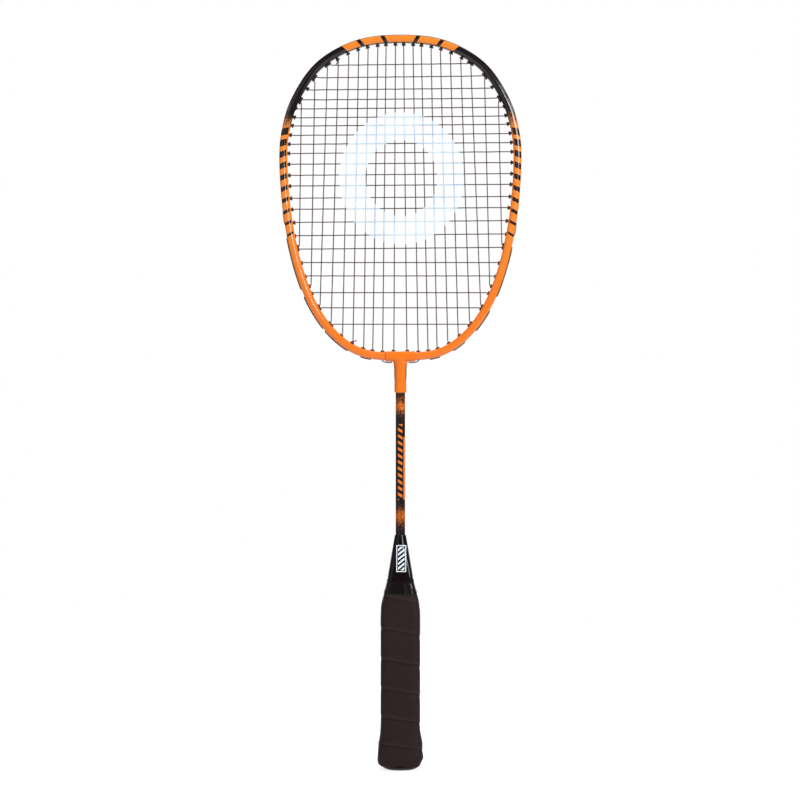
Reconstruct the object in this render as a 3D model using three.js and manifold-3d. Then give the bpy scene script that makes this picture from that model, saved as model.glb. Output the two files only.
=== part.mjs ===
// Crossminton racket, strung, standing upright on its butt end.
// Millimetres. +Z runs from the butt to the top of the head, +X to the right, -Y to the front.
// The origin is the centre of the flat butt end.

import * as THREE from 'three';
import { mergeVertices } from 'three/addons/utils/BufferGeometryUtils.js';
import Module from 'manifold-3d';

const wasm = await Module();
wasm.setup();

// Tolerance for equal points, and steps of rounds, of the rail, of searches along it and of the weave
const weldTolerance = 0.00001;
const roundSides = 16;
const railSamples = 2000;
const searchSteps = 40;
const weavePasses = 4;

// Overall and head
const overallLength = 580;
const headWidth = 191.4;
const headLength = 257.4;

// Hoop tube: face is its width seen from the front, depth runs front to back
const hoopFace = 6.6;
const hoopDepth = 10;
const hoopEndGap = 0.6;
const hoopStations = 72;

// Fits
const seatGap = 0.25;
const boreClearance = 0.25;
const cutOverrun = 0.8;

// String
const stringDiameter = 0.9;
const stringGap = 0.45;
const topTail = { side: -1.5, rise: -3 };
const bottomTail = { side: 3, rise: 0.9 };
const tipBend = 0.55;
const cornerCut = 0.5;
const laneShift = 1.9;
const twinLead = 1.1;
const stationMargin = 1;
const miterShare = 0.5;
const steepestRise = 1.6;
const neighbourReach = 4;

// Groove round the outside of the hoop, shallower towards the throat
const headGroove = 2.2;
const throatGroove = 1.2;
const grooveSideGap = 0.25;
const grooveChangeShares = [0.3, 0.58];

// Grommet strips and the barrels that line the holes
const stripThickness = 0.7;
const stripEndMargin = 3.2;
const grommetWall = 0.6;
const grommetTip = 2;
const sharedTip = 1.6;
const shortTip = 0.7;
const rimWidening = 0.3;
const rimLength = 1.2;

// Half the distance along the hoop between two strings that share a grommet
const topLead = 1.4;
const bottomLead = 1.1;

// T-joint
const sleeveLength = 24;
const sleeveWall = 0.7;
const sleeveChamfer = 0.5;
const stemLength = 25.5;
const stemRootWidth = 11.6;
const stemNeckWidth = 10;
const stemWaistWidth = 9.1;
const stemCollarWidth = 9.5;
const stemCollarHeight = 6.5;
const stemFlare = 5.5;
const stemEndRound = 1;
const socketRoof = 3;
const throatBoreSplay = 1;

// Shaft
const shaftDiameter = 7.5;
const shaftWall = 1.2;
const shaftDepthInHandle = 86;

// Cone between shaft and handle
const coneHeight = 39.7;
const coneFootWidth = 20.8;
const coneTopWidth = 9.4;
const coneWall = 1.3;
const coneLipWidth = 8.8;

// Outline of the wrapped handle
const buttWidth = 36.5;
const buttHeight = 9.1;
const flareHeight = 33;
const gripWidth = 31.4;
const gripDepth = 28;
const wrapTop = 145;
const wrapTaperHeight = 20;
const wrapTopWidth = 21.6;
const wrapThickness = 2.1;

// Helical overlap of the wrap, which falls from left to right on the front
const wrapPitch = 22.9;
const wrapSeamRight = 129.8;
const wrapSeamDepth = 0.9;
const wrapSeamRun = 5.5;
const wrapSeamFeather = 0.1;
const wrapSeamFoot = 12.5;

// Butt cap and wooden core
const capFlatWidth = 22;
const capEdgeWidth = 26.6;
const capEdgeHeight = 1.1;
const capRimWidth = 30;
const capFloor = 4.2;
const capHeight = 24;
const spigotWidth = 14.4;
const spigotHeight = 10;

// Finishing tape over the joint of wrap and cone
const tapeBelow = 6.2;
const tapeAbove = 5.6;
const tapeThickness = 0.5;

// Half outline of the head from the top to the throat: share of the half width, share of the length
const headOutlineShares = [
  [0, 1],
  [0.375, 0.982],
  [0.698, 0.9135],
  [0.905, 0.8],
  [0.981, 0.706],
  [1, 0.632],
  [0.961, 0.432],
  [0.85, 0.254],
  [0.717, 0.142],
  [0.54, 0.0605],
  [0.33, 0.013],
  [0, 0],
];

// Hoop section from the groove edge round to the inner face: share of the face, share of the half depth
const hoopSectionShares = [
  [0.1, 0.76],
  [0.38, 1],
  [0.74, 0.94],
  [1, 0.48],
];

// Heights of the 23 cross strings as shares of the head length, from the top down
const crossHeightShares = [
  0.9106, 0.872, 0.8345, 0.8036, 0.7758, 0.7486, 0.7231, 0.6945, 0.6668, 0.6386, 0.6054, 0.5714,
  0.5385, 0.5011, 0.467, 0.4268, 0.3859, 0.3445, 0.3006, 0.2595, 0.2079, 0.1613, 0.1106,
];

// The crosses down to this one are a little lower on the left than on the right
const crossTilt = 1.4;
const lastTiltedCross = 18;

// The 20 main strings are numbered 1 to 10 from either side to the middle. These are distances from
// the middle, as shares of the half width, of the holes that a main string starts or ends in.
const mainTopShares = { 4: 0.5073, 5: 0.4213, 6: 0.3385, 7: 0.261, 8: 0.1796, 9: 0.1116, 10: 0.0336 };
const mainBottomShares = { 2: 0.7418, 5: 0.48, 6: 0.3938, 7: 0.304, 8: 0.2287, 9: 0.147, 10: 0.0562 };

// The tops of the mains stand a little further to the left than their feet
const mainLean = 0.65;

// Shares of the rail's length between which the holes of the left half are looked for
const railSearchShares = { crosses: [0.02, 0.48], waist: [0.1, 0.45], throat: 0.002, top: 0.5 };

// Holes that a main string shares with a cross string: main number and cross number
const sharedAtTop = { 1: 4, 2: 2, 3: 1 };
const sharedAtBottom = { 1: 18, 3: 22, 4: 23 };

// Cross strings whose grommets are short, because a main string passes close to them
const crossesBesideMain = [5, 17, 20];

// Main strings on the left beside whose holes the string's two ends are tied off
const topKnotMain = 4;
const bottomKnotMain = 6;

// Last cross of each shoulder strip, and the first and last cross of each side strip
const shoulderLastCross = 6;
const sideCrosses = [7, 17];

// Unit outline of the handle in one quadrant: share of the half width, share of the half depth
const handleQuadrantShares = [
  [1, 0.64],
  [0.91, 0.88],
  [0.68, 1],
];

// Outline of the wrap from the butt up, zone by zone: share of the zone's height, then share of
// the butt width in the roll and of the zone's change of width in the flare and the taper
const buttRollShares = [[0.35, 0.83], [0.5, 0.935], [0.74, 0.99], [1, 1]];
const flareShares = [[0.4, 0.33], [0.6, 0.56], [0.8, 0.86], [1, 1]];
const taperShares = [[0, 0], [0.2, 0.08], [0.42, 0.25], [0.62, 0.46], [1, 1]];

// Outline of the cone from its foot up: share of its height, share of its change of width
const coneShares = [[0, 0], [0.19, 0.09], [0.96, 1]];
const coneSocketShare = 0.2;

// Derived sizes
const headBottom = overallLength - headLength;
const stringRadius = stringDiameter / 2;
const lanePitch = stringDiameter + stringGap;
const grooveHalf = lanePitch + stringRadius + grooveSideGap;
const boreHalf = stringRadius + boreClearance;
const barrelHalf = boreHalf + grommetWall;
const rimHalf = barrelHalf + rimWidening;
const mainsPerSide = 10;
const crossCount = crossHeightShares.length;
const stemFoot = headBottom - stemLength;
const socketRadius = shaftDiameter / 2 + seatGap;
const socketTop = headBottom - seatGap - socketRoof;
const coneFoot = wrapTop + seatGap;
const coneTop = coneFoot + coneHeight;

const { lerp, clamp, smoothstep } = THREE.MathUtils;

// Merge equal points and drop collapsed triangles
function weld(geometry) {
  const bare = geometry.clone();
  bare.deleteAttribute('normal');
  bare.deleteAttribute('uv');
  const merged = mergeVertices(bare, weldTolerance);
  const index = merged.index.array;
  const kept = [];
  for (let i = 0; i < index.length; i += 3) {
    const [a, b, c] = index.slice(i, i + 3);
    if (a !== b && b !== c && c !== a) kept.push(a, b, c);
  }
  merged.setIndex(kept);
  return merged;
}

function signedVolume(points, faces) {
  const cross = new THREE.Vector3();
  return faces.reduce((sum, [a, b, c]) => sum + points[a].dot(cross.crossVectors(points[b], points[c])), 0);
}

// Closed skin through rings of equal count. Either the last ring joins the first, or both ends get
// a cap, cut into triangles in the flat outline of the section.
function loft(rings, { ringed = false, outline = null } = {}) {
  const count = rings[0].length;
  const points = rings.flat();
  const faces = [];
  const spans = ringed ? rings.length : rings.length - 1;
  for (let i = 0; i < spans; i++) {
    const here = i * count;
    const next = ((i + 1) % rings.length) * count;
    for (let j = 0; j < count; j++) {
      const k = (j + 1) % count;
      faces.push([here + j, here + k, next + k], [here + j, next + k, next + j]);
    }
  }
  if (!ringed) {
    const flat = outline ?? unitCircle(count);
    const last = (rings.length - 1) * count;
    const turned = THREE.ShapeUtils.isClockWise(flat);
    for (const [a, b, c] of THREE.ShapeUtils.triangulateShape(flat, [])) {
      const [u, v, w] = turned ? [c, b, a] : [a, b, c];
      faces.push([w, v, u], [last + u, last + v, last + w]);
    }
  }
  if (signedVolume(points, faces) < 0) faces.forEach((face) => face.reverse());
  const geometry = new THREE.BufferGeometry();
  const position = points.flatMap((p) => p.toArray());
  geometry.setAttribute('position', new THREE.Float32BufferAttribute(position, 3));
  geometry.setIndex(faces.flat());
  return geometry;
}

function unitCircle(count) {
  return Array.from({ length: count }, (_, j) => {
    const angle = (2 * Math.PI * j) / count;
    return new THREE.Vector2(Math.cos(angle), Math.sin(angle));
  });
}

function toSolid(geometry) {
  const vertProperties = new Float32Array(geometry.attributes.position.array);
  const triVerts = new Uint32Array(geometry.index.array);
  return new wasm.Manifold(new wasm.Mesh({ numProp: 3, vertProperties, triVerts }));
}

function toGeometry(solid) {
  const mesh = solid.getMesh();
  const geometry = new THREE.BufferGeometry();
  geometry.setAttribute('position', new THREE.Float32BufferAttribute(mesh.vertProperties, 3));
  geometry.setIndex(Array.from(mesh.triVerts));
  return geometry;
}

const addAll = (solid, parts) => parts.reduce((sum, part) => sum.add(part), solid);
const cutAll = (solid, parts) => parts.reduce((rest, part) => rest.subtract(part), solid);

// Rail of the hoop: outer outline, outward direction and groove depth, from the throat up the left
// side, over the top and down the right side
const rail = makeRail();

function outlinePoint(x, z) {
  return new THREE.Vector3((x * headWidth) / 2, 0, headBottom + z * headLength);
}

function makeRail() {
  const left = headOutlineShares.map(([x, z]) => outlinePoint(-x, z)).reverse();
  const right = headOutlineShares.slice(1, -1).map(([x, z]) => outlinePoint(x, z));
  const curve = new THREE.CatmullRomCurve3([...left, ...right], true, 'centripetal');
  curve.arcLengthDivisions = railSamples;
  const length = curve.getLength();
  const end = hoopEndGap / 2 / length;
  const stations = Array.from({ length: hoopStations + 1 }, (_, i) => {
    const at = clamp(i / hoopStations, end, 1 - end);
    const point = curve.getPointAt(at);
    const tangent = curve.getTangentAt(at);
    const outward = new THREE.Vector3(-tangent.z, 0, tangent.x).normalize();
    const height = (point.z - headBottom) / headLength;
    const groove = lerp(throatGroove, headGroove, smoothstep(height, ...grooveChangeShares));
    return { at, point, outward, groove };
  });
  return { stations, length };
}

// Place on the faceted hoop, at a share of the rail's length
function railAt(at) {
  const { stations } = rail;
  let i = 1;
  while (i < stations.length - 1 && stations[i].at < at) i++;
  const [a, b] = [stations[i - 1], stations[i]];
  const t = (at - a.at) / (b.at - a.at);
  return {
    at,
    point: a.point.clone().lerp(b.point, t),
    outward: a.outward.clone().lerp(b.outward, t).normalize(),
    groove: lerp(a.groove, b.groove, t),
  };
}

// Point beside a station: out from the outer face, and front to back
function offRail(station, out, y) {
  const p = station.point.clone().addScaledVector(station.outward, out);
  p.y = y;
  return p;
}

function stationsBetween(from, to, margin = 0) {
  const low = Math.min(from, to) + margin / rail.length;
  const high = Math.max(from, to) - margin / rail.length;
  const inside = rail.stations.filter((s) => s.at > low && s.at < high);
  return from < to ? inside : inside.reverse();
}

// Outline of the hoop's section as [out, y], as it is or grown all round for what encloses it
function hoopOutline(station, grow = null) {
  const around = grow ?? 0;
  const half = hoopDepth / 2 + around;
  const shoulder = hoopSectionShares.map(([n, y]) => [around - n * (hoopFace + 2 * around), y * half]);
  const lip = grow === null ? [[-station.groove, grooveHalf], [0, grooveHalf]] : [[around, grooveHalf]];
  const back = [...lip, ...shoulder];
  const front = back.map(([n, y]) => [n, -y]).reverse();
  return [...back, ...front];
}

function hoopRing(station, grow = null) {
  return hoopOutline(station, grow).map(([n, y]) => offRail(station, n, y));
}

function hoopCap(grow = null) {
  return hoopOutline(rail.stations[0], grow).map(([n, y]) => new THREE.Vector2(n, y));
}

function makeHoop() {
  const tube = loft(rail.stations.map((station) => hoopRing(station)), { outline: hoopCap() });
  const drills = allHoles.map((hole) => (
    drill(hole, barrelHalf + boreClearance, cutOverrun, -hoopFace - cutOverrun)
  ));
  return toGeometry(cutAll(toSolid(tube), drills));
}

// Prism along a hole, six-sided or square, wide enough for both strings where two share the hole
function drill(hole, half, from, to, sides = 6) {
  const reach = half / Math.cos(Math.PI / sides);
  const prism = (y) => {
    const ring = (out) => Array.from({ length: sides }, (_, i) => {
      const angle = ((i + 0.5) * 2 * Math.PI) / sides;
      return holePoint(hole, out, y + reach * Math.sin(angle), strandForth(hole, y) + reach * Math.cos(angle));
    });
    return toSolid(loft([ring(from), ring(to)]));
  };
  return hole.twin === 0 ? prism(0) : wasm.Manifold.hull([prism(0), prism(hole.twin)]);
}

// How far along the rail a string in a shared hole stands from the hole's middle
function strandForth(hole, y) {
  return y === hole.twin ? hole.lead : -hole.lead;
}

// Point in a hole: out from the hoop's outer face, front to back, and along the rail
function holePoint(hole, out, y, forth) {
  const { outward } = hole.station;
  const forward = new THREE.Vector3(outward.z, 0, -outward.x);
  const lean = (hole.splay * (out + hoopFace)) / hoopFace;
  return offRail(hole.station, out, y).addScaledVector(forward, forth + lean);
}

function makeHole(at, { twin = 0, lead = 0, tip = grommetTip, splay = 0, inSleeve = false } = {}) {
  return { at, station: railAt(at), twin, lead, tip, splay, inSleeve };
}

function mirrored(hole, changes = {}) {
  return makeHole(1 - hole.at, { ...hole, lead: -hole.lead, splay: -hole.splay, ...changes });
}

// Hole on the left half where a string leaves the grommet at a given distance or height
function findHole(measure, target, range, options = {}) {
  const exitAt = (at) => {
    const hole = makeHole(at, options);
    return holePoint(hole, -hoopFace - hole.tip, 0, strandForth(hole, hole.twin));
  };
  let [from, to] = range;
  const rising = measure(exitAt(to)) > measure(exitAt(from));
  for (let i = 0; i < searchSteps; i++) {
    const middle = (from + to) / 2;
    if (measure(exitAt(middle)) > target === rising) to = middle;
    else from = middle;
  }
  return makeHole((from + to) / 2, options);
}

// Holes of one side, found on the left half and mirrored for the right one
function makeSide(sign) {
  const byX = (p) => -p.x;
  const byZ = (p) => p.z;
  const placed = (hole) => (sign < 0 ? hole : mirrored(hole));
  const widest = headOutlineShares.find(([x]) => x === 1);
  const { crosses, waist: waistRange, throat, top } = railSearchShares;
  const waist = findHole(byZ, headBottom + widest[1] * headLength, waistRange).at;
  const side = { top: {}, bottom: {}, cross: {} };
  crossHeightShares.forEach((share, i) => {
    const j = i + 1;
    const tilt = j > lastTiltedCross ? 0 : (sign * crossTilt) / 2;
    const above = Object.values(sharedAtTop).includes(j);
    const below = Object.values(sharedAtBottom).includes(j);
    const options = { tip: crossesBesideMain.includes(j) ? shortTip : grommetTip };
    if (above || below) {
      Object.assign(options, { twin: -lanePitch, lead: above ? topLead : -bottomLead, tip: sharedTip });
    }
    side.cross[j] = placed(findHole(byZ, headBottom + share * headLength + tilt, crosses, options));
  });
  for (const [k, share] of Object.entries(mainTopShares)) {
    const lean = -sign * mainLean;
    side.top[k] = placed(findHole(byX, (share * headWidth) / 2 + lean, [waist, top]));
  }
  for (const [k, share] of Object.entries(mainBottomShares)) {
    const inSleeve = Number(k) === mainsPerSide;
    const splay = inSleeve ? throatBoreSplay : 0;
    side.bottom[k] = placed(findHole(byX, (share * headWidth) / 2, [throat, waist], { splay, inSleeve }));
  }
  return side;
}

function makeHoles() {
  const [left, right] = [makeSide(-1), makeSide(1)];
  // Two strings also meet where an end is tied off
  left.top[topKnotMain] = makeHole(left.top[topKnotMain].at, { twin: lanePitch });
  left.bottom[bottomKnotMain] = makeHole(left.bottom[bottomKnotMain].at, { twin: -lanePitch });
  right.cross[1] = makeHole(right.cross[1].at, { ...right.cross[1], twin: lanePitch });
  for (const side of [left, right]) {
    for (const [k, j] of Object.entries(sharedAtTop)) side.top[k] = side.cross[j];
    for (const [k, j] of Object.entries(sharedAtBottom)) side.bottom[k] = side.cross[j];
  }
  return { left, right };
}

const { left, right } = makeHoles();
const holesOf = (side) => [side.top, side.bottom, side.cross].flatMap((row) => Object.values(row));
const allHoles = [...new Set([...holesOf(left), ...holesOf(right)])].sort((a, b) => a.at - b.at);

function tipOut(hole) {
  const sleeve = hole.inSleeve ? seatGap + sleeveWall : 0;
  return -hoopFace - sleeve - hole.tip;
}

function stripFloor(station) {
  return seatGap - station.groove;
}

// How far past its last hole a strip goes: never past the middle between that and the next hole
function endMargin(hole, way) {
  const next = allHoles[allHoles.indexOf(hole) + way];
  const half = Math.abs(next.at - hole.at) / 2 - seatGap / rail.length;
  return Math.min(stripEndMargin / rail.length, half);
}

// Grommet strip in the groove, with a barrel through the hoop at each hole from first to last
function makeStrip(first, last) {
  const from = railAt(first.at - endMargin(first, -1));
  const to = railAt(last.at + endMargin(last, 1));
  const half = grooveHalf - seatGap;
  const rings = [from, ...stationsBetween(from.at, to.at), to].map((station) => {
    const low = stripFloor(station);
    const high = low + stripThickness;
    const corners = [[low, half], [high, half], [high, -half], [low, -half]];
    return corners.map(([n, y]) => offRail(station, n, y));
  });
  const mine = allHoles.filter((hole) => hole.at >= first.at && hole.at <= last.at);
  const barrels = mine.map((hole) => makeBarrel(hole, stripFloor(hole.station) + stripThickness / 2));
  const bores = mine.map((hole) => drill(hole, boreHalf, cutOverrun, tipOut(hole) - cutOverrun, 4));
  return toGeometry(cutAll(addAll(toSolid(loft(rings)), barrels), bores));
}

// Barrel of a grommet, with a wider rim round its tip
function makeBarrel(hole, foot) {
  const rimStart = tipOut(hole) + Math.min(rimLength, hole.tip - seatGap);
  return drill(hole, barrelHalf, foot, tipOut(hole)).add(drill(hole, rimHalf, rimStart, tipOut(hole)));
}

// Single grommet through the sleeve of the T-joint
function makeThroatGrommet(hole) {
  const foot = seatGap + sleeveWall;
  const barrel = makeBarrel(hole, foot);
  const bore = drill(hole, boreHalf, foot + cutOverrun, tipOut(hole) - cutOverrun, 4);
  return toGeometry(barrel.subtract(bore));
}

// T-joint: sleeve over the two ends of the hoop, with a stem that takes the shaft
function makeTJoint() {
  const reach = sleeveLength / 2 / rail.length;
  const chamfer = sleeveChamfer / rail.length;
  const past = cutOverrun / rail.length;
  const inner = [...stationsBetween(reach, 0), ...stationsBetween(1, 1 - reach)];
  const skin = seatGap + sleeveWall;
  const sleeve = loft([
    hoopRing(railAt(reach), skin - sleeveChamfer),
    hoopRing(railAt(reach - chamfer), skin),
    ...inner.map((station) => hoopRing(station, skin)),
    hoopRing(railAt(1 - reach + chamfer), skin),
    hoopRing(railAt(1 - reach), skin - sleeveChamfer),
  ], { outline: hoopCap(skin) });
  const channel = loft([
    railAt(reach + past), ...inner, railAt(1 - reach - past),
  ].map((station) => hoopRing(station, seatGap)), { outline: hoopCap(seatGap) });
  const stem = new THREE.LatheGeometry([
    [0, stemFoot],
    [stemCollarWidth / 2 - stemEndRound, stemFoot],
    [stemCollarWidth / 2, stemFoot + stemEndRound],
    [stemCollarWidth / 2, stemFoot + stemCollarHeight],
    [stemWaistWidth / 2, stemFoot + stemCollarHeight + stemEndRound / 2],
    [stemNeckWidth / 2, headBottom - stemFlare],
    [stemRootWidth / 2, headBottom - stemFlare / 3],
    [stemRootWidth / 2, headBottom],
    [0, headBottom],
  ].map(([r, z]) => new THREE.Vector2(r, z)), roundSides).rotateX(Math.PI / 2);
  const socketDepth = socketTop - stemFoot + cutOverrun;
  const socket = new THREE.CylinderGeometry(socketRadius, socketRadius, socketDepth, roundSides)
    .rotateX(Math.PI / 2)
    .translate(0, 0, (socketTop + stemFoot - cutOverrun) / 2);
  const bores = [left.bottom[mainsPerSide], right.bottom[mainsPerSide]].map((hole) => (
    drill(hole, barrelHalf + boreClearance, seatGap + sleeveWall + cutOverrun, -hoopFace - skin - cutOverrun)
  ));
  const body = toSolid(sleeve).add(toSolid(weld(stem)));
  return toGeometry(cutAll(body, [toSolid(channel), toSolid(weld(socket)), ...bores]));
}

// The string: one length, woven, from the knot at the top left to the knot at the bottom left
function runOut(station, inSleeve) {
  const floor = inSleeve ? seatGap + sleeveWall : stripFloor(station) + stripThickness;
  return floor + seatGap + stringRadius;
}

function mouthPoint(hole, y) {
  return holePoint(hole, runOut(hole.station, hole.inSleeve), y, strandForth(hole, y));
}

function tipPoint(hole, y) {
  return holePoint(hole, tipOut(hole) - tipBend, y, strandForth(hole, y));
}

function strandAt(hole, y) {
  return hole.at + strandForth(hole, y) / rail.length;
}

// Stretch outside the hoop from one hole to the next, which moves over into a lane of the groove
function outsideRun(from, fromY, to, toY, lane) {
  const [start, end] = [strandAt(from, fromY), strandAt(to, toY)];
  const way = Math.sign(end - start) / rail.length;
  const gap = (end - start) / way;
  const shift = Math.min(laneShift, gap / 3);
  const edge = (sleeveLength / 2 + cutOverrun) / rail.length;
  const onSleeve = (at) => at < edge || at > 1 - edge;
  const stops = stationsBetween(start, end, stationMargin).map((station) => station.at);
  if (fromY !== lane) stops.push(start + way * shift);
  if (toY !== lane) stops.push(end - way * shift);
  const sleeveEdge = start < 0.5 ? edge : 1 - edge;
  if (from.inSleeve !== to.inSleeve) stops.push(sleeveEdge);
  stops.sort((a, b) => (a - b) / way);
  return stops.map((at) => {
    const [gone, left] = [(at - start) / way, (end - at) / way];
    const ease = clamp(Math.min(gone, left) / shift, 0, 1);
    const station = railAt(at);
    const level = runOut(station, onSleeve(at) || at === sleeveEdge);
    return offRail(station, level, lerp(gone < left ? fromY : toY, lane, ease));
  });
}

function makeRoute() {
  const points = [];
  const goOut = (hole, y) => points.push(tipPoint(hole, y), mouthPoint(hole, y));
  const goIn = (hole, y) => points.push(mouthPoint(hole, y), tipPoint(hole, y));
  const runAlong = (from, fromY, to, toY, lane) => points.push(...outsideRun(from, fromY, to, toY, lane));

  const knotTop = left.top[topKnotMain];
  points.push(tipPoint(knotTop, lanePitch).add(new THREE.Vector3(topTail.side, 0, topTail.rise)));
  goOut(knotTop, lanePitch);
  runAlong(knotTop, lanePitch, left.top[1], 0, lanePitch);

  // Main strings, numbered 1 to 20 from left to right: odd ones run down, even ones up
  const mains = [];
  for (let k = 1; k <= mainsPerSide; k++) mains.push({ top: left.top[k], bottom: left.bottom[k] });
  for (let k = mainsPerSide; k >= 1; k--) mains.push({ top: right.top[k], bottom: right.bottom[k] });
  mains.forEach((main, i) => {
    const [from, to] = i % 2 === 0 ? [main.top, main.bottom] : [main.bottom, main.top];
    goIn(from, 0);
    goOut(to, 0);
    if (i === mains.length - 1) return;
    const next = i % 2 === 0 ? mains[i + 1].bottom : mains[i + 1].top;
    const outermost = i === 0 || i === mains.length - 2;
    runAlong(to, 0, next, 0, outermost ? lanePitch : 0);
  });
  runAlong(right.top[1], 0, right.cross[1], lanePitch, lanePitch);

  // Cross strings, over and under the main strings in turn
  for (let j = 1; j <= crossCount; j++) {
    const [from, to] = j % 2 === 1 ? [right, left] : [left, right];
    const [entry, exit] = [from.cross[j], to.cross[j]];
    goIn(entry, entry.twin);
    points.push(...weave(mains, j, entry, exit));
    goOut(exit, exit.twin);
    if (j === crossCount) break;
    const next = to.cross[j + 1];
    const crowded = allHoles.some((hole) => (hole.at - exit.at) * (hole.at - next.at) < 0);
    const shared = exit.twin !== 0 || next.twin !== 0;
    runAlong(exit, exit.twin, next, next.twin, crowded || shared ? -lanePitch : 0);
  }
  const knotBottom = left.bottom[bottomKnotMain];
  runAlong(left.cross[crossCount], -lanePitch, knotBottom, -lanePitch, -lanePitch);
  goIn(knotBottom, -lanePitch);
  points.push(tipPoint(knotBottom, -lanePitch).add(new THREE.Vector3(bottomTail.side, 0, bottomTail.rise)));
  return points;
}

// Where the stretch from a to b meets the one from c to d, seen from the front
function meetingPoint(a, b, c, d) {
  const [p, q, r] = [b.clone().sub(a), d.clone().sub(c), c.clone().sub(a)];
  const area = p.x * q.z - p.z * q.x;
  const along = (r.x * q.z - r.z * q.x) / area;
  const across = (r.x * p.z - r.z * p.x) / area;
  const inside = Math.min(along, across, 1 - along, 1 - across) > 0;
  return inside ? a.clone().lerp(b, along) : null;
}

// Waves of a cross string over and under the mains, higher where the mains stand close together
function weave(mains, j, entry, exit) {
  const [a, b] = [tipPoint(entry, entry.twin), tipPoint(exit, exit.twin)];
  const over = [];
  mains.forEach((main, i) => {
    if ([main.top, main.bottom].some((hole) => hole === entry || hole === exit)) return;
    const meeting = meetingPoint(a, b, tipPoint(main.top, 0), tipPoint(main.bottom, 0));
    if (meeting) over.push(meeting.setY((i + j) % 2 ? lanePitch : -lanePitch));
  });
  if (a.x > b.x) over.reverse();
  const way = Math.sign(b.x - a.x);
  if (entry.twin !== 0) a.x += way * twinLead;
  if (exit.twin !== 0) b.x -= way * twinLead;
  const row = [a, ...over, b];
  for (let pass = 0; pass < weavePasses; pass++) {
    const rises = row.slice(1).map((p, i) => Math.abs(p.y - row[i].y) / Math.abs(p.x - row[i].x));
    over.forEach((p, i) => {
      const steepness = Math.min(Math.max(rises[i], rises[i + 1]), steepestRise);
      p.y = Math.sign(p.y) * lanePitch * Math.hypot(1, steepness);
    });
  }
  return [...(entry.twin !== 0 ? [a] : []), ...over, ...(exit.twin !== 0 ? [b] : [])];
}

// Replace each sharp corner by two gentler ones
function softenCorners(points) {
  return points.flatMap((p, i) => {
    if (i === 0 || i === points.length - 1) return [p];
    const before = points[i - 1].clone().sub(p);
    const after = points[i + 1].clone().sub(p);
    if (before.angleTo(after) > (Math.PI * 2) / 3) return [p];
    const cut = Math.min(cornerCut, before.length() / 3, after.length() / 3);
    return [before, after].map((way) => p.clone().addScaledVector(way.normalize(), cut));
  });
}

// Length of the string, and the least gap between stretches of it that aren't neighbours
function measureString(route) {
  const legs = route.slice(1).map((p, i) => new THREE.Line3(route[i], p));
  const ends = [];
  legs.forEach((leg, i) => ends.push((ends[i - 1] ?? 0) + leg.distance()));
  let closest = Infinity;
  for (let i = 0; i < legs.length; i++) {
    for (let j = i + 2; j < legs.length; j++) {
      if (ends[j - 1] - ends[i] < neighbourReach) continue;
      closest = Math.min(closest, legs[i].distanceSqToLine3(legs[j]));
    }
  }
  const gap = Math.sqrt(closest) - stringDiameter;
  console.log(`string ${ends.at(-1).toFixed(0)} mm long, least gap to itself ${gap.toFixed(3)} mm`);
}

// Four-sided tube along the route, one edge always to the front
function makeString() {
  const route = softenCorners(makeRoute());
  measureString(route);
  const ways = route.slice(1).map((p, i) => p.clone().sub(route[i]).normalize());
  const rings = route.map((p, i) => {
    const before = ways[Math.max(i - 1, 0)];
    const after = ways[Math.min(i, ways.length - 1)];
    const way = before.clone().add(after).normalize();
    const flat = new THREE.Vector3(way.z, 0, -way.x).normalize();
    const upright = new THREE.Vector3().crossVectors(way, flat).normalize();
    const miter = stringRadius / Math.max(way.dot(before), miterShare);
    return [
      p.clone().addScaledVector(upright, stringRadius),
      p.clone().addScaledVector(flat, miter),
      p.clone().addScaledVector(upright, -stringRadius),
      p.clone().addScaledVector(flat, -miter),
    ];
  });
  return loft(rings);
}

// Shaft tube
function makeShaft() {
  const [foot, top] = [wrapTop - shaftDepthInHandle, socketTop - seatGap];
  const outer = shaftDiameter / 2;
  const profile = [[outer - shaftWall, foot], [outer, foot], [outer, top], [outer - shaftWall, top]];
  profile.push(profile[0]);
  const tube = new THREE.LatheGeometry(profile.map(([r, z]) => new THREE.Vector2(r, z)), roundSides);
  return weld(tube.rotateX(Math.PI / 2));
}

// Handle: unit outline all round, then the half width of the wrap's outside by height
const handleUnit = [
  ...handleQuadrantShares,
  ...[...handleQuadrantShares].reverse().map(([x, y]) => [-x, y]),
  ...handleQuadrantShares.map(([x, y]) => [-x, -y]),
  ...[...handleQuadrantShares].reverse().map(([x, y]) => [x, -y]),
];
const wrapOutline = [
  ...buttRollShares.map(([z, w]) => [z * buttHeight, (w * buttWidth) / 2]),
  ...flareShares.map(([z, w]) => [
    lerp(buttHeight, flareHeight, z),
    lerp(buttWidth, gripWidth, w) / 2,
  ]),
  ...taperShares.map(([z, w]) => [
    wrapTop - wrapTaperHeight * (1 - z),
    lerp(gripWidth, wrapTopWidth, w) / 2,
  ]),
];

// Value at a height in a table of heights and values
function valueAt(outline, z) {
  const i = outline.findIndex(([height]) => height >= z);
  if (i <= 0) return i === 0 ? outline[0][1] : outline[outline.length - 1][1];
  const [[z0, w0], [z1, w1]] = [outline[i - 1], outline[i]];
  return lerp(w0, w1, (z - z0) / (z1 - z0));
}

// Ring of the handle's rounded octagon, drawn in by a trim, and rounded towards a circle
function handleRing(z, half, trim = 0, roundness = 0) {
  const width = half - trim;
  const depth = (half * lerp(gripDepth, gripWidth, roundness)) / gripWidth - trim;
  return handleUnit.map(([x, y], j) => {
    const angle = ((j + 0.5) * 2 * Math.PI) / handleUnit.length;
    const ux = lerp(x, Math.cos(angle), roundness);
    const uy = lerp(y, Math.sin(angle), roundness);
    return new THREE.Vector3(ux * width, uy * depth, z);
  });
}

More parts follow.
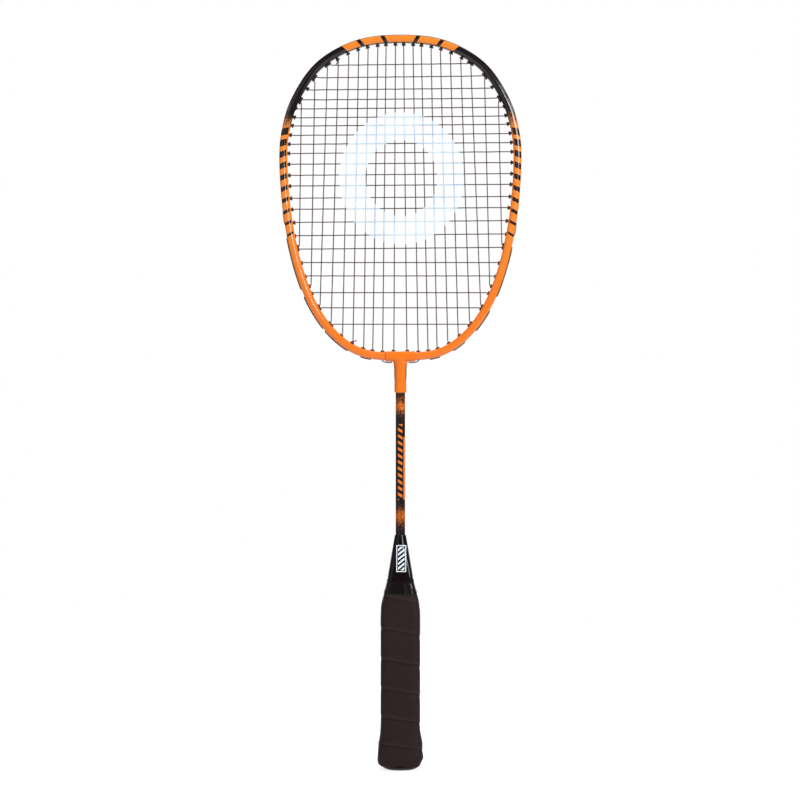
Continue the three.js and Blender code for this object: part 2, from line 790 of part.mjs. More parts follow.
function makeWrap() {
  const under = wrapThickness;
  const outer = wrapOutline.map(([z, half]) => handleRing(z, half));
  const capTop = capHeight + seatGap;
  const inner = wrapOutline
    .filter(([z]) => z < capTop || z > flareHeight)
    .map(([z, half]) => handleRing(z, half, under));
  const step = wrapOutline.filter(([z]) => z < capTop).length;
  inner.splice(
    step,
    0,
    handleRing(capTop, valueAt(wrapOutline, capTop), under),
    handleRing(capTop + seatGap, gripWidth / 2, under),
  );
  const sleeve = loft([...outer, ...inner.reverse()], { ringed: true });
  return toGeometry(toSolid(sleeve).subtract(toSolid(makeSeam())));
}

// Saw-toothed helix that leaves the lower edge of each turn of the wrap standing proud
function makeSeam() {
  const bends = handleUnit.map(([x, y], corner) => {
    const angle = Math.atan2(y * gripDepth, x * gripWidth);
    return { corner, turn: angle / (2 * Math.PI) + (angle < 0 ? 1 : 0) };
  });
  const rings = [];
  const lastTurn = Math.ceil(wrapSeamRight / wrapPitch);
  for (let turn = -1; turn < lastTurn; turn++) {
    for (const bend of bends) {
      const z = wrapSeamRight - wrapPitch * (turn + bend.turn);
      if (z > wrapTop - tapeBelow / 2 || z < wrapSeamFoot) continue;
      const at = (height, trim) => handleRing(height, valueAt(wrapOutline, height), trim)[bend.corner];
      rings.push([at(z, -cutOverrun), at(z, wrapSeamDepth), at(z - wrapSeamRun, -wrapSeamFeather)]);
    }
  }
  return loft(rings);
}

function makeButtCap() {
  const rimTop = wrapOutline[0][0] - seatGap;
  const trim = wrapThickness + seatGap;
  const wall = wrapOutline.filter(([z]) => z < capHeight);
  return loft([
    handleRing(0, capFlatWidth / 2),
    handleRing(capEdgeHeight, capEdgeWidth / 2),
    handleRing(rimTop, capRimWidth / 2),
    handleRing(rimTop, wall[0][1], trim),
    ...wall.map(([z, half]) => handleRing(z, half, trim)),
    handleRing(capHeight, valueAt(wrapOutline, capHeight), trim),
    handleRing(capHeight, gripWidth / 2, trim - seatGap),
    handleRing(capFloor, gripWidth / 2, trim - seatGap),
  ]);
}

function makeCore() {
  const trim = wrapThickness + seatGap;
  const foot = capFloor + seatGap;
  const spigotTop = wrapTop + spigotHeight;
  const bore = socketRadius / Math.cos(Math.PI / handleUnit.length);
  const boreFoot = wrapTop - shaftDepthInHandle - seatGap;
  const neck = wrapOutline.filter(([z]) => z > flareHeight);
  return loft([
    handleRing(foot, gripWidth / 2, trim),
    ...neck.map(([z, half]) => handleRing(z, half, trim)),
    handleRing(wrapTop, spigotWidth / 2),
    handleRing(spigotTop, spigotWidth / 2),
    handleRing(spigotTop, bore, 0, 1),
    handleRing(boreFoot, bore, 0, 1),
  ]);
}

// Ring of the cone, from the handle's octagon at its foot to a circle at its top
function coneRing(share, trim = 0, roundness = share) {
  const half = lerp(coneFootWidth, coneTopWidth, valueAt(coneShares, share)) / 2;
  return handleRing(lerp(coneFoot, coneTop, share), half, trim, roundness);
}

function makeCone() {
  const socketFoot = coneTop - coneHeight * coneSocketShare;
  const bore = socketRadius / Math.cos(Math.PI / handleUnit.length);
  return loft([
    ...coneShares.map(([share]) => coneRing(share)),
    handleRing(coneTop, coneLipWidth / 2, 0, 1),
    handleRing(coneTop, bore, 0, 1),
    handleRing(socketFoot, bore, 0, 1),
    coneRing(coneShares[1][0], coneWall),
    coneRing(0, coneWall),
  ], { ringed: true });
}

function makeTape() {
  const rows = [wrapTop - tapeBelow, wrapTop, wrapTop + tapeAbove];
  const under = (z) => {
    if (z <= wrapTop) return valueAt(wrapOutline, z);
    return lerp(coneFootWidth, coneTopWidth, valueAt(coneShares, (z - coneFoot) / coneHeight)) / 2;
  };
  const ring = (z, out) => handleRing(z, under(z), -out);
  const outer = rows.map((z) => ring(z, seatGap + tapeThickness));
  const inner = rows.map((z) => ring(z, seatGap)).reverse();
  return loft([...outer, ...inner], { ringed: true });
}

const looks = {
  paint: { color: '#ee7828', roughness: 0.25, metalness: 0 },
  shaft: { color: '#2a1c18', roughness: 0.3, metalness: 0 },
  glossBlack: { color: '#1c1416', roughness: 0.25, metalness: 0 },
  wrap: { color: '#322727', roughness: 0.7, metalness: 0 },
  rubber: { color: '#2b2222', roughness: 0.6, metalness: 0 },
  wood: { color: '#c39a6b', roughness: 0.7, metalness: 0 },
  grommet: { color: '#261615', roughness: 0.45, metalness: 0 },
  string: { color: '#5a4a4a', roughness: 0.4, metalness: 0 },
};

const racket = new THREE.Group();

function put(name, geometry, look) {
  const material = new THREE.MeshStandardMaterial({ ...looks[look], flatShading: true });
  const mesh = new THREE.Mesh(geometry, material);
  mesh.name = name;
  racket.add(mesh);
}

put('head_frame', makeHoop(), 'paint');
put('t_joint', makeTJoint(), 'paint');
put('head_grommet_strip', makeStrip(left.top[4], right.top[4]), 'grommet');
put('left_shoulder_strip', makeStrip(left.cross[shoulderLastCross], left.top[3]), 'grommet');
put('right_shoulder_strip', makeStrip(right.top[3], right.cross[shoulderLastCross]), 'grommet');
put('left_side_strip', makeStrip(left.cross[sideCrosses[1]], left.cross[sideCrosses[0]]), 'grommet');
put('right_side_strip', makeStrip(right.cross[sideCrosses[0]], right.cross[sideCrosses[1]]), 'grommet');
put('left_lower_strip', makeStrip(left.bottom[9], left.bottom[1]), 'grommet');
put('right_lower_strip', makeStrip(right.bottom[1], right.bottom[9]), 'grommet');
put('left_throat_grommet', makeThroatGrommet(left.bottom[mainsPerSide]), 'grommet');
put('right_throat_grommet', makeThroatGrommet(right.bottom[mainsPerSide]), 'grommet');
put('string', makeString(), 'string');
put('shaft', makeShaft(), 'shaft');
put('handle_cone', makeCone(), 'glossBlack');
put('finishing_tape', makeTape(), 'glossBlack');
put('grip_wrap', makeWrap(), 'wrap');
put('handle_core', makeCore(), 'wood');
put('butt_cap', makeButtCap(), 'rubber');

export default racket;
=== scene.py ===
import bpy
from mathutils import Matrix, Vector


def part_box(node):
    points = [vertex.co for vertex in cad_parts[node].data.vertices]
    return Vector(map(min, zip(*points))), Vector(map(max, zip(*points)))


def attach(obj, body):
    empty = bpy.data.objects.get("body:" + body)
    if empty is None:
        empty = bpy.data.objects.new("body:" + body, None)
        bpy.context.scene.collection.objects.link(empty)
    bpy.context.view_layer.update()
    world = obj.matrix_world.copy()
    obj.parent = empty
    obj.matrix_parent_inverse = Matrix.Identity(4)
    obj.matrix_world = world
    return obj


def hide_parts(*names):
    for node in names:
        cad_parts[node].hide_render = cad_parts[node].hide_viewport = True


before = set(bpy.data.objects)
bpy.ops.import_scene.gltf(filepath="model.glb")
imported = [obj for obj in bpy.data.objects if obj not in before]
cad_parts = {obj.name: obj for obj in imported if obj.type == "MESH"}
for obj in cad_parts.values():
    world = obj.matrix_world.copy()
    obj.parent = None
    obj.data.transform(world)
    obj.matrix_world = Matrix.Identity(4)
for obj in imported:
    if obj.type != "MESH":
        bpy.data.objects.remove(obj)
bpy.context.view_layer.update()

from bisect import bisect_left
from functools import partialmethod, reduce
from math import atan2, cos, hypot, pi, radians, sin, sqrt
from operator import or_
from types import SimpleNamespace

import bmesh
import bpy
from bpy.props import FloatProperty, FloatVectorProperty, PointerProperty
from mathutils import Matrix, Vector, noise

bl_info = {
    "name": "Crossminton Racket",
    "version": (1, 0, 0),
    "blender": (4, 5, 0),
    "location": "View3D > Sidebar > Racket",
    "description": "Builds the visible pieces and finishes of a strung crossminton racket",
    "category": "Object",
}

# Sizes shared with the frame, in metres

OVERALL_LENGTH = 0.58
HEAD_WIDTH = 0.1914
HEAD_LENGTH = 0.2574
HEAD_BOTTOM = OVERALL_LENGTH - HEAD_LENGTH
HOOP_FACE = 0.0066
HOOP_DEPTH = 0.01
HEAD_GROOVE = 0.0022
THROAT_GROOVE = 0.0012
SEAT_GAP = 0.00025
STRING_GAP = 0.00045
STRIP_THICKNESS = 0.0007
GROMMET_WALL = 0.0006
STRIP_END_MARGIN = 0.0032
# How far grommets stand out inside the hoop: most of them, those with two strings, three short
# ones, and those below a share of the head's height
GROMMET_TIP = 0.002
SHARED_TIP = 0.0016
SHORT_TIP = 0.0007
SHORT_TIP_CROSSES = (5, 17, 20)
LOW_TIP = 0.001
LOW_TIP_SHARE = 0.36
# How far the two strings of a shared hole stand ahead of its middle and behind it
TOP_LEAD = 0.0014
BOTTOM_LEAD = 0.0011
SLEEVE_LENGTH = 0.024
SLEEVE_WALL = 0.0007
STEM_FOOT = HEAD_BOTTOM - 0.0255
WRAP_TOP = 0.145
WRAP_PITCH = 0.0229
CONE_FOOT = 0.14525
CONE_HEIGHT = 0.0397
CONE_WALL = 0.0013
GRIP_DEPTH_SHARE = 28 / 31.4
SHAFT_RADIUS = 0.00374
SHAFT_WALL = 0.0012

# Rows and columns that paint is set out in: size of one, row of the butt, column of the middle
PIXEL = 0.000789
BUTT_ROW = 769.5
MIDDLE_COLUMN = 400

# How finely round forms are drawn: steps between two corners or along a piece, sides of a ring
RAIL_STEPS = 150
CORNER_STEPS = 7
HOOP_STEPS = 500
CONE_STEPS = 33
TAPE_STEPS = 8
SLEEVE_SIDES = 36
STEM_SIDES = 40
BARREL_SIDES = 18
SHAFT_SIDES = 64
KNOT_STEPS = 24
FLOOR_SIDES = 96
STRIP_STEP = 0.002
BLEND_VOXEL = 0.00022
# Share of a side that the round of its corner takes up, and power of the sleeve's soft rectangle
CORNER_SHARE = 0.42
SLEEVE_POWER = 2.8
# The string outside the hoop: way on which it moves over into a lane, distance between its points
LANE_CHANGE = 0.0019
RUN_STEP = 0.0025
# Bend of the string at a grommet, and how far it runs on straight past the grommet's tip
STRING_BEND = 0.0011
TIP_REACH = 0.00045

# Outside of the hoop's right half: shares of half the head's width and of its length
WIDEST_SHARE = 0.632
HEAD_OUTLINE_SHARES = [
    (0, 1), (0.375, 0.982), (0.698, 0.9135), (0.905, 0.8), (0.981, 0.706), (1, WIDEST_SHARE),
    (0.961, 0.432), (0.85, 0.254), (0.717, 0.142), (0.54, 0.0605), (0.33, 0.013), (0, 0),
]
# Heights of the cross strings as shares of the head's length, and how they tilt
CROSS_HEIGHT_SHARES = [
    0.9106, 0.872, 0.8345, 0.8036, 0.7758, 0.7486, 0.7231, 0.6945, 0.6668, 0.6386, 0.6054, 0.5714,
    0.5385, 0.5011, 0.467, 0.4268, 0.3859, 0.3445, 0.3006, 0.2595, 0.2079, 0.1613, 0.1106,
]
CROSS_TILT = 0.0014
LAST_TILTED_CROSS = 18
# Main strings, counted from the outermost in: where their holes lie as shares of half the width,
# how far they lean at the top, and which of them share the hole of a cross
MAINS_PER_SIDE = 10
MAIN_TOP_SHARES = {4: 0.5073, 5: 0.4213, 6: 0.3385, 7: 0.261, 8: 0.1796, 9: 0.1116, 10: 0.0336}
MAIN_BOTTOM_SHARES = {2: 0.7418, 5: 0.48, 6: 0.3938, 7: 0.304, 8: 0.2287, 9: 0.147, 10: 0.0562}
MAIN_LEAN = 0.00065
SHARED_AT_TOP = {1: 4, 2: 2, 3: 1}
SHARED_AT_BOTTOM = {1: 18, 3: 22, 4: 23}

# Half of the hoop's section: share of the face from the outer side in, share of the half depth
HOOP_SECTION = [
    (0.004, 0.5), (0.02, 0.6), (0.055, 0.71), (0.11, 0.8), (0.19, 0.87), (0.29, 0.925),
    (0.39, 0.968), (0.46, 0.988), (0.51, 0.996), (0.56, 0.994), (0.605, 0.976), (0.66, 0.942),
    (0.76, 0.872), (0.85, 0.79), (0.925, 0.675), (0.97, 0.54), (0.995, 0.38), (1.0, 0.2),
]
# Part of it, along the ridge, that is drawn in finer steps
RIDGE_LOW, RIDGE_HIGH = 0.4, 0.78
RIDGE_SHARES = [0.42 + 0.0125 * k for k in range(28)]

# Half width of the wrap's outside by height, and of the cone's by share of its height
WRAP_OUTLINE = [
    (0.0032, 0.01515), (0.0045, 0.01706), (0.0067, 0.01807), (0.0091, 0.01825), (0.0187, 0.01741),
    (0.0234, 0.01682), (0.0282, 0.01606), (0.033, 0.0157), (0.125, 0.0157), (0.129, 0.01531),
    (0.1334, 0.01448), (0.1374, 0.01345), (0.145, 0.0108),
]
CONE_OUTLINE = [(0.0, 0.0104), (0.19, 0.0099), (0.96, 0.0047), (1.0, 0.0044)]
# Corners of a quarter of the handle's octagon, whose half width is one
HANDLE_QUADRANT = [(1, 0.64), (0.91, 0.88), (0.68, 1)]
# Rings of the butt cap, height and half width, and how round they are up to a height
CAP_RINGS = [
    (0.0, 0.0040), (0.0, 0.0085), (0.0001, 0.0098), (0.0004, 0.0112), (0.0009, 0.0125),
    (0.0015, 0.0136), (0.0022, 0.0145), (0.0029, 0.01505), (0.0031, 0.0150), (0.0032, 0.0128),
    (0.0045, 0.0145), (0.0067, 0.0155), (0.0091, 0.0157), (0.0187, 0.0149), (0.0238, 0.0144),
    (0.024, 0.0134), (0.0045, 0.0134),
]
CAP_ROUND_TOP = 0.00315
CAP_ROUNDNESS = 0.85
# Outside of the T-joint's stem: radius and height over its foot, then over the head's bottom
STEM_LOW = [
    (0.0040, 0.0), (0.00452, 0.0004), (0.00475, 0.0011), (0.00475, 0.0062), (0.00468, 0.0072),
    (0.00468, 0.0095), (0.0049, 0.0125),
]
STEM_HIGH = [
    (0.00495, -0.0062), (0.0053, -0.0036), (0.0058, -0.0014), (0.0062, 0.0), (0.0064, 0.002),
]

# Heights of the wrap's seam on the right side, one turn after the other
SEAM_HEIGHTS = [
    0.1803, 0.155, 0.1298, 0.1049, 0.0812, 0.0584, 0.0362, 0.0154, -0.0028, -0.021, -0.04,
]

# First and last turn of the band, its edge tucked under the turn above, its inner face, and its
# swelling over the cap's upper edge by height, half width and lift
WRAP_TURNS = (-2, 6)
WRAP_TUCK, WRAP_BACK = 0.003, 0.0019
SWELLING = (0.0205, 0.0016, 0.0005)

# Creases of the stretched tape: where round it, how wide in degrees, how high
TAPE_CREASES = [
    (-75, 4, 0.00042), (-86, 3, 0.00015), (-133, 6, 0.00028), (70, 7, 0.0003), (140, 5, 0.00025),
]
TAPE_TOP, TAPE_FOOT, TAPE_LIFT = 0.1484, 0.1394, 0.00055

# Paint, by rows: where the orange turns lighter and warmer, a painted highlight for the stronger
# light on the upper head, the plain bars that thin out down both sides (first and last row, pitch,
# slant), the dashes on top by their distances from its middle, the speckled zones and bare fibres
# of both sides, whose glints are painted in as pale grey lines, the shaft's spray
ORANGE_TOP, LIT_ORANGE_FOOT = 300, 235
SIDE_BARS = (129.5, 240, 0.0094, 0.0026)
TOP_DASHES = [(-0.0115, 0.0115), (0.0148, 0.031), (0.0343, 0.0465)]
DASH_SLANT = 0.0032
HEAD_SIDES = [
    (-1, (129.5, 111), (100, 124, 0.34, 0.5)),
    (1, (127.5, 107), (80, 120, 0.46, 0.8)),
]
SHAFT_SPRAYS = [(385, 405, 409, 423), (500, 514, 518, 535)]

# Camera's place and lens, and lamps: name, place, aim, size and power
CAMERA_PLACE, CAMERA_LENS = (-0.0003, -2.107, 0.2915), 120
LAMPS = [
    ("key", (1.3, -1.7, 0.98), (0, 0, 0.33), 0.7, 29),
    ("fill", (-1.7, -1.7, 0.7), (0, 0, 0.3), 2.4, 12.5),
    ("top", (0.2, -0.1, 2.2), (0, 0, 0.3), 1.5, 10),
    ("back", (-0.5, 1.7, 1.2), (0, 0, 0.3), 1.2, 9),
]


# Sizes and colours that can be changed

def length_property(name, description, default, low, high):
    return FloatProperty(
        name=name, description=description, default=default, min=low, max=high, unit="LENGTH",
        precision=5)


def colour_property(name, description, default):
    return FloatVectorProperty(
        name=name, description=description, default=default, subtype="COLOR", min=0, max=1)


class RacketSizes(bpy.types.PropertyGroup):
    string_diameter: length_property(
        "String Diameter", "Thickness of the string", 0.0009, 0.0006, 0.0013)
    string_wave: length_property(
        "Cross Wave", "How far a cross string rises over a main string", 0.00066, 0.0, 0.0012)
    seam_depth: length_property(
        "Seam Depth", "Step between two turns of the grip wrap", 0.0006, 0.0, 0.0014)
    rim_widening: length_property(
        "Grommet Rim", "How far a grommet's rim stands out all round", 0.00045, 0.0, 0.0006)
    stencil_width: length_property(
        "Stencil Width", "Width of the ring painted on the strings", 0.1, 0.04, 0.15)
    stencil_height: length_property(
        "Stencil Height", "Height of the ring painted on the strings", 0.106, 0.04, 0.15)
    stencil_band: length_property(
        "Stencil Band", "Width of the ring's painted band", 0.021, 0.004, 0.03)


class RacketColours(bpy.types.PropertyGroup):
    orange: colour_property("Orange", "Lacquer of the lower head", (0.93, 0.205, 0.012))
    # The lighter orange is a painted highlight: the head's orange painted lighter and warmer
    # towards the top, for the stronger light there
    lit_orange: colour_property("Warm Orange", "Lighter lacquer of sides and top", (0.94, 0.25, 0.022))
    black: colour_property("Black", "Lacquer of upper head and shaft", (0.0085, 0.0042, 0.0056))
    grip: colour_property("Grip", "Wrap of the handle", (0.0195, 0.0094, 0.0096))
    string: colour_property("String", "String", (0.085, 0.045, 0.048))
    grommet: colour_property("Grommet", "Grommet strips and barrels", (0.013, 0.0058, 0.0055))
    stencil: colour_property("Stencil", "Ring painted on the strings", (0.66, 0.82, 0.95))


def sizes():
    return bpy.context.scene.racket_sizes


def colours():
    return bpy.context.scene.racket_colours


# The rail of the hoop: its outer outline from the throat up the left side and round to the throat

def spline_point(p0, p1, p2, p3, t):
    """Point on a centripetal Catmull-Rom curve between p1 and p2."""
    d0, d1, d2 = (sqrt((b - a).length) for a, b in ((p0, p1), (p1, p2), (p2, p3)))
    m1 = ((p1 - p0) / d0 - (p2 - p0) / (d0 + d1) + (p2 - p1) / d1) * d1
    m2 = ((p2 - p1) / d1 - (p3 - p1) / (d1 + d2) + (p3 - p2) / d2) * d1
    return (
        p1 + m1 * t + (3 * (p2 - p1) - 2 * m1 - m2) * t * t
        + (2 * (p1 - p2) + m1 + m2) * t * t * t
    )


def closed_spline(points, steps):
    count = len(points)
    corners = [[points[(i + k) % count] for k in (-1, 0, 1, 2)] for i in range(count)]
    return [spline_point(*four, k / steps) for four in corners for k in range(steps)]


def outline_place(x, z):
    return Vector((x * HEAD_WIDTH / 2, 0, HEAD_BOTTOM + z * HEAD_LENGTH))


def make_rail():
    up = [outline_place(-x, z) for x, z in reversed(HEAD_OUTLINE_SHARES)]
    down = [outline_place(x, z) for x, z in HEAD_OUTLINE_SHARES[1:-1]]
    points = closed_spline(up + down, RAIL_STEPS)
    points.append(points[0])
    lengths = [0.0]
    for a, b in zip(points, points[1:]):
        lengths.append(lengths[-1] + (b - a).length)
    return points, lengths


RAIL, RAIL_LENGTHS = make_rail()
RAIL_LENGTH = RAIL_LENGTHS[-1]


def smoothstep(x, low, high):
    t = min(max((x - low) / (high - low), 0), 1)
    return t * t * (3 - 2 * t)


def mix(a, b, t):
    return a + (b - a) * t


def bell(x, middle, width):
    return 2.7 ** -(((x - middle) / width) ** 2)


def rail_at(at):
    """Place on the rail at a share of its length, with the way outwards and the groove's depth."""
    i = min(max(bisect_left(RAIL_LENGTHS, at * RAIL_LENGTH), 1), len(RAIL) - 1)
    t = (at * RAIL_LENGTH - RAIL_LENGTHS[i - 1]) / (RAIL_LENGTHS[i] - RAIL_LENGTHS[i - 1])
    before, after = RAIL[max(i - 2, 0)], RAIL[min(i + 1, len(RAIL) - 1)]
    way = (after - before).normalized()
    point = RAIL[i - 1].lerp(RAIL[i], t)
    height = (point.z - HEAD_BOTTOM) / HEAD_LENGTH
    groove = mix(THROAT_GROOVE, HEAD_GROOVE, smoothstep(height, 0.3, 0.58))
    return SimpleNamespace(at=at, point=point, outward=Vector((-way.z, 0, way.x)), groove=groove)


def off_rail(station, out, y):
    place = station.point + station.outward * out
    return Vector((place.x, y, place.z))


def where(measure, target, low, high):
    """Place at which a measure that only rises or only falls reaches a value."""
    rising = measure(high) > measure(low)
    for _ in range(32):
        middle = (low + high) / 2
        if (measure(middle) > target) == rising:
            high = middle
        else:
            low = middle
    return (low + high) / 2


def row_height(row):
    return (BUTT_ROW - row) * PIXEL


def column_place(column):
    return (column - MIDDLE_COLUMN) * PIXEL


def away_at_row(row, sign):
    """Length of rail from the top's middle down one side to a row."""
    low, high = (0.2, 0.5) if sign < 0 else (0.5, 0.8)

    def height(at):
        return off_rail(rail_at(at), -HOOP_FACE / 2, 0).z
    return abs(where(height, row_height(row), low, high) - 0.5) * RAIL_LENGTH


def stations_between(start, end):
    count = max(int(abs(end - start) * RAIL_LENGTH / STRIP_STEP), 1)
    return [rail_at(mix(start, end, k / count)) for k in range(count + 1)]


# String holes

def lane_pitch():
    return sizes().string_diameter + STRING_GAP


def groove_half():
    return lane_pitch() + sizes().string_diameter / 2 + SEAT_GAP


def make_hole(at, twin=0.0, lead=0.0, tip=GROMMET_TIP, splay=0.0, in_sleeve=False):
    return SimpleNamespace(
        at=at, station=rail_at(at), twin=twin, lead=lead, tip=tip, splay=splay, in_sleeve=in_sleeve)


def mirrored(hole):
    return make_hole(1 - hole.at, hole.twin, -hole.lead, hole.tip, -hole.splay, hole.in_sleeve)


def strand_forth(hole, y):
    """How far along the rail a string in a shared hole stands from the hole's middle."""
    return hole.lead if y == hole.twin else -hole.lead


def find_hole(measure, target, low, high, **options):
    """Hole on the left half where a string leaves its grommet at a given distance or height."""
    def exit_at(at):
        hole = make_hole(at, **options)
        return measure(hole_point(hole, -HOOP_FACE - hole.tip, 0, strand_forth(hole, hole.twin)))
    return make_hole(where(exit_at, target, low, high), **options)


def make_side(sign):
    """Holes of one side, found on the left half and mirrored for the right one."""
    half = HEAD_WIDTH / 2
    sideways, upright = (lambda p: -p.x), (lambda p: p.z)
    place = (lambda hole: hole) if sign < 0 else mirrored
    waist = find_hole(upright, HEAD_BOTTOM + WIDEST_SHARE * HEAD_LENGTH, 0.1, 0.45).at
    side = SimpleNamespace(top={}, bottom={}, cross={})
    for j, share in enumerate(CROSS_HEIGHT_SHARES, 1):
        tilt = sign * CROSS_TILT / 2 if j <= LAST_TILTED_CROSS else 0.0
        options = {"tip": SHORT_TIP if j in SHORT_TIP_CROSSES else GROMMET_TIP}
        for shared, lead in ((SHARED_AT_TOP, TOP_LEAD), (SHARED_AT_BOTTOM, -BOTTOM_LEAD)):
            if j in shared.values():
                options = {"twin": -lane_pitch(), "lead": lead, "tip": SHARED_TIP}
        if share < LOW_TIP_SHARE:
            options["tip"] = min(options["tip"], LOW_TIP)
        height = HEAD_BOTTOM + share * HEAD_LENGTH + tilt
        side.cross[j] = place(find_hole(upright, height, 0.02, 0.48, **options))
    for k, share in MAIN_TOP_SHARES.items():
        side.top[k] = place(find_hole(sideways, share * half - sign * MAIN_LEAN, waist, 0.5))
    for k, share in MAIN_BOTTOM_SHARES.items():
        last = k == MAINS_PER_SIDE
        side.bottom[k] = place(find_hole(
            sideways, share * half, 0.002, waist, tip=LOW_TIP, splay=0.001 if last else 0.0,
            in_sleeve=last))
    return side


def make_holes():
    left, right = make_side(-1), make_side(1)
    left.top[4].twin = lane_pitch()
    left.bottom[6].twin = -lane_pitch()
    right.cross[1].twin = lane_pitch()
    for side in (left, right):
        for k, j in SHARED_AT_TOP.items():
            side.top[k] = side.cross[j]
        for k, j in SHARED_AT_BOTTOM.items():
            side.bottom[k] = side.cross[j]
    return left, right


def holes_in_order(left, right):
    found = {}
    for side in (left, right):
        for row in (side.top, side.bottom, side.cross):
            found.update({id(hole): hole for hole in row.values()})
    return sorted(found.values(), key=lambda hole: hole.at)


def hole_point(hole, out, y, forth=0.0):
    outward = hole.station.outward
    forward = Vector((outward.z, 0, -outward.x))
    lean = hole.splay * (out + HOOP_FACE) / HOOP_FACE
    return off_rail(hole.station, out, y) + forward * (forth + lean)


def tip_out(hole):
    sleeve = SEAT_GAP + SLEEVE_WALL if hole.in_sleeve else 0
    return -HOOP_FACE - sleeve - hole.tip


# The string's route

def run_out(station, in_sleeve):
    floor = SEAT_GAP + SLEEVE_WALL if in_sleeve else SEAT_GAP - station.groove + STRIP_THICKNESS
    return floor + SEAT_GAP + sizes().string_diameter / 2


def outside_run(start, start_y, end, end_y, lane):
    """Stretch outside the hoop from one hole to the next, which moves over into a lane."""
    first = start.at + strand_forth(start, start_y) / RAIL_LENGTH
    last = end.at + strand_forth(end, end_y) / RAIL_LENGTH
    span = abs(last - first) * RAIL_LENGTH
    shift = min(LANE_CHANGE, span / 3)
    count = max(int(span / RUN_STEP), 3)
    edge = (SLEEVE_LENGTH / 2 + 0.0008) / RAIL_LENGTH
    places = []
    for k in range(1, count):
        gone = span * k / count
        left = span - gone
        ease = smoothstep(min(gone, left) / shift, 0, 1)
        station = rail_at(mix(first, last, k / count))
        on_sleeve = min(station.at, 1 - station.at) < edge
        near = start_y if gone < left else end_y
        places.append(off_rail(station, run_out(station, on_sleeve), mix(near, lane, ease)))
    return places


def meeting_point(a, b, c, d):
    """Where the stretch from a to b meets the one from c to d, seen from the front, or None."""
    p, q, r = b - a, d - c, c - a
    area = p.x * q.z - p.z * q.x
    along, across = (r.x * q.z - r.z * q.x) / area, (r.x * p.z - r.z * p.x) / area
    if min(along, across, 1 - along, 1 - across) < 0.002:
        return None
    return a.lerp(b, along)


class Route:
    """Way of the one string: down and up the mains, then to and fro across them."""

    def __init__(self):
        self.left, self.right = left, right = make_holes()
        self.pitch = lane_pitch()
        self.points = []
        self.mains = [(left.top[k], left.bottom[k]) for k in range(1, MAINS_PER_SIDE + 1)]
        self.mains += [(right.top[k], right.bottom[k]) for k in range(MAINS_PER_SIDE, 0, -1)]
        self.lines = [(self.tip(top, 0), self.tip(bottom, 0)) for top, bottom in self.mains]
        self.rows = [
            tuple(self.tip(side.cross[j], side.cross[j].twin) for side in (left, right))
            for j in range(1, len(CROSS_HEIGHT_SHARES) + 1)
        ]

    def tip(self, hole, y):
        """Place just past the inner end of a grommet."""
        return hole_point(hole, tip_out(hole) - TIP_REACH, y, strand_forth(hole, y))

    def mouth(self, hole, y):
        """Place at the outer end of a grommet."""
        return hole_point(hole, run_out(hole.station, hole.in_sleeve), y, strand_forth(hole, y))

    def go_out(self, hole, y):
        self.points.extend((self.tip(hole, y), self.mouth(hole, y)))

    def go_in(self, hole, y):
        self.points.extend((self.mouth(hole, y), self.tip(hole, y)))

    def run(self, start, start_y, end, end_y, lane):
        self.points.extend(outside_run(start, start_y, end, end_y, lane))

    def crossing(self, i, j):
        """Where main i meets cross j, and whether the cross lies behind it, or None."""
        place = meeting_point(*self.rows[j - 1], *self.lines[i])
        if place is None:
            return None
        return Vector((place.x, 1 if (i + 1 + j) % 2 else -1, place.z))

    def weave(self, meets, rise, backwards):
        """Pass behind or before each string met."""
        passed = [Vector((m.x, m.y * rise, m.z)) for m in meets if m]
        self.points.extend(reversed(passed) if backwards else passed)

    def lay_mains(self):
        push = sizes().string_diameter - sizes().string_wave + 0.00002
        for i, (top, bottom) in enumerate(self.mains):
            down = i % 2 == 0
            start, end = (top, bottom) if down else (bottom, top)
            self.go_in(start, 0)
            meets = [self.crossing(i, j) for j in range(1, len(self.rows) + 1)]
            self.weave(meets, -push, not down)
            self.go_out(end, 0)
            if i < len(self.mains) - 1:
                outermost = i in (0, len(self.mains) - 2)
                self.run(end, 0, self.mains[i + 1][down], 0, self.pitch if outermost else 0)

    def lay_crosses(self):
        holes = holes_in_order(self.left, self.right)
        for j in range(1, len(self.rows) + 1):
            start, end = (self.right, self.left) if j % 2 else (self.left, self.right)
            entry, leave = start.cross[j], end.cross[j]
            self.go_in(entry, entry.twin)
            meets = [self.crossing(i, j) for i in range(len(self.mains))]
            self.weave(meets, sizes().string_wave, j % 2)
            self.go_out(leave, leave.twin)
            if j < len(self.rows):
                following = end.cross[j + 1]
                crowded = any((h.at - leave.at) * (h.at - following.at) < 0 for h in holes)
                aside = crowded or leave.twin or following.twin
                lane = -self.pitch if aside else 0
                self.run(leave, leave.twin, following, following.twin, lane)

    def laid(self):
        """All points, from the knot at the top to the one at the bottom."""
        left, right, pitch = self.left, self.right, self.pitch
        knot = left.top[4]
        self.points = [self.tip(knot, pitch) + Vector((-0.0022, 0.0002, -0.0034))]
        self.go_out(knot, pitch)
        self.run(knot, pitch, left.top[1], 0, pitch)
        self.lay_mains()
        self.run(right.top[1], 0, right.cross[1], pitch, pitch)
        self.lay_crosses()
        knot = left.bottom[6]
        self.run(left.cross[len(self.rows)], -pitch, knot, -pitch, -pitch)
        self.go_in(knot, -pitch)
        self.points.append(self.tip(knot, -pitch) + Vector((0.003, -0.0002, 0.0009)))
        return self.points


def bent(start, corner, end, t):
    return start * (1 - t) ** 2 + corner * 2 * t * (1 - t) + end * t * t


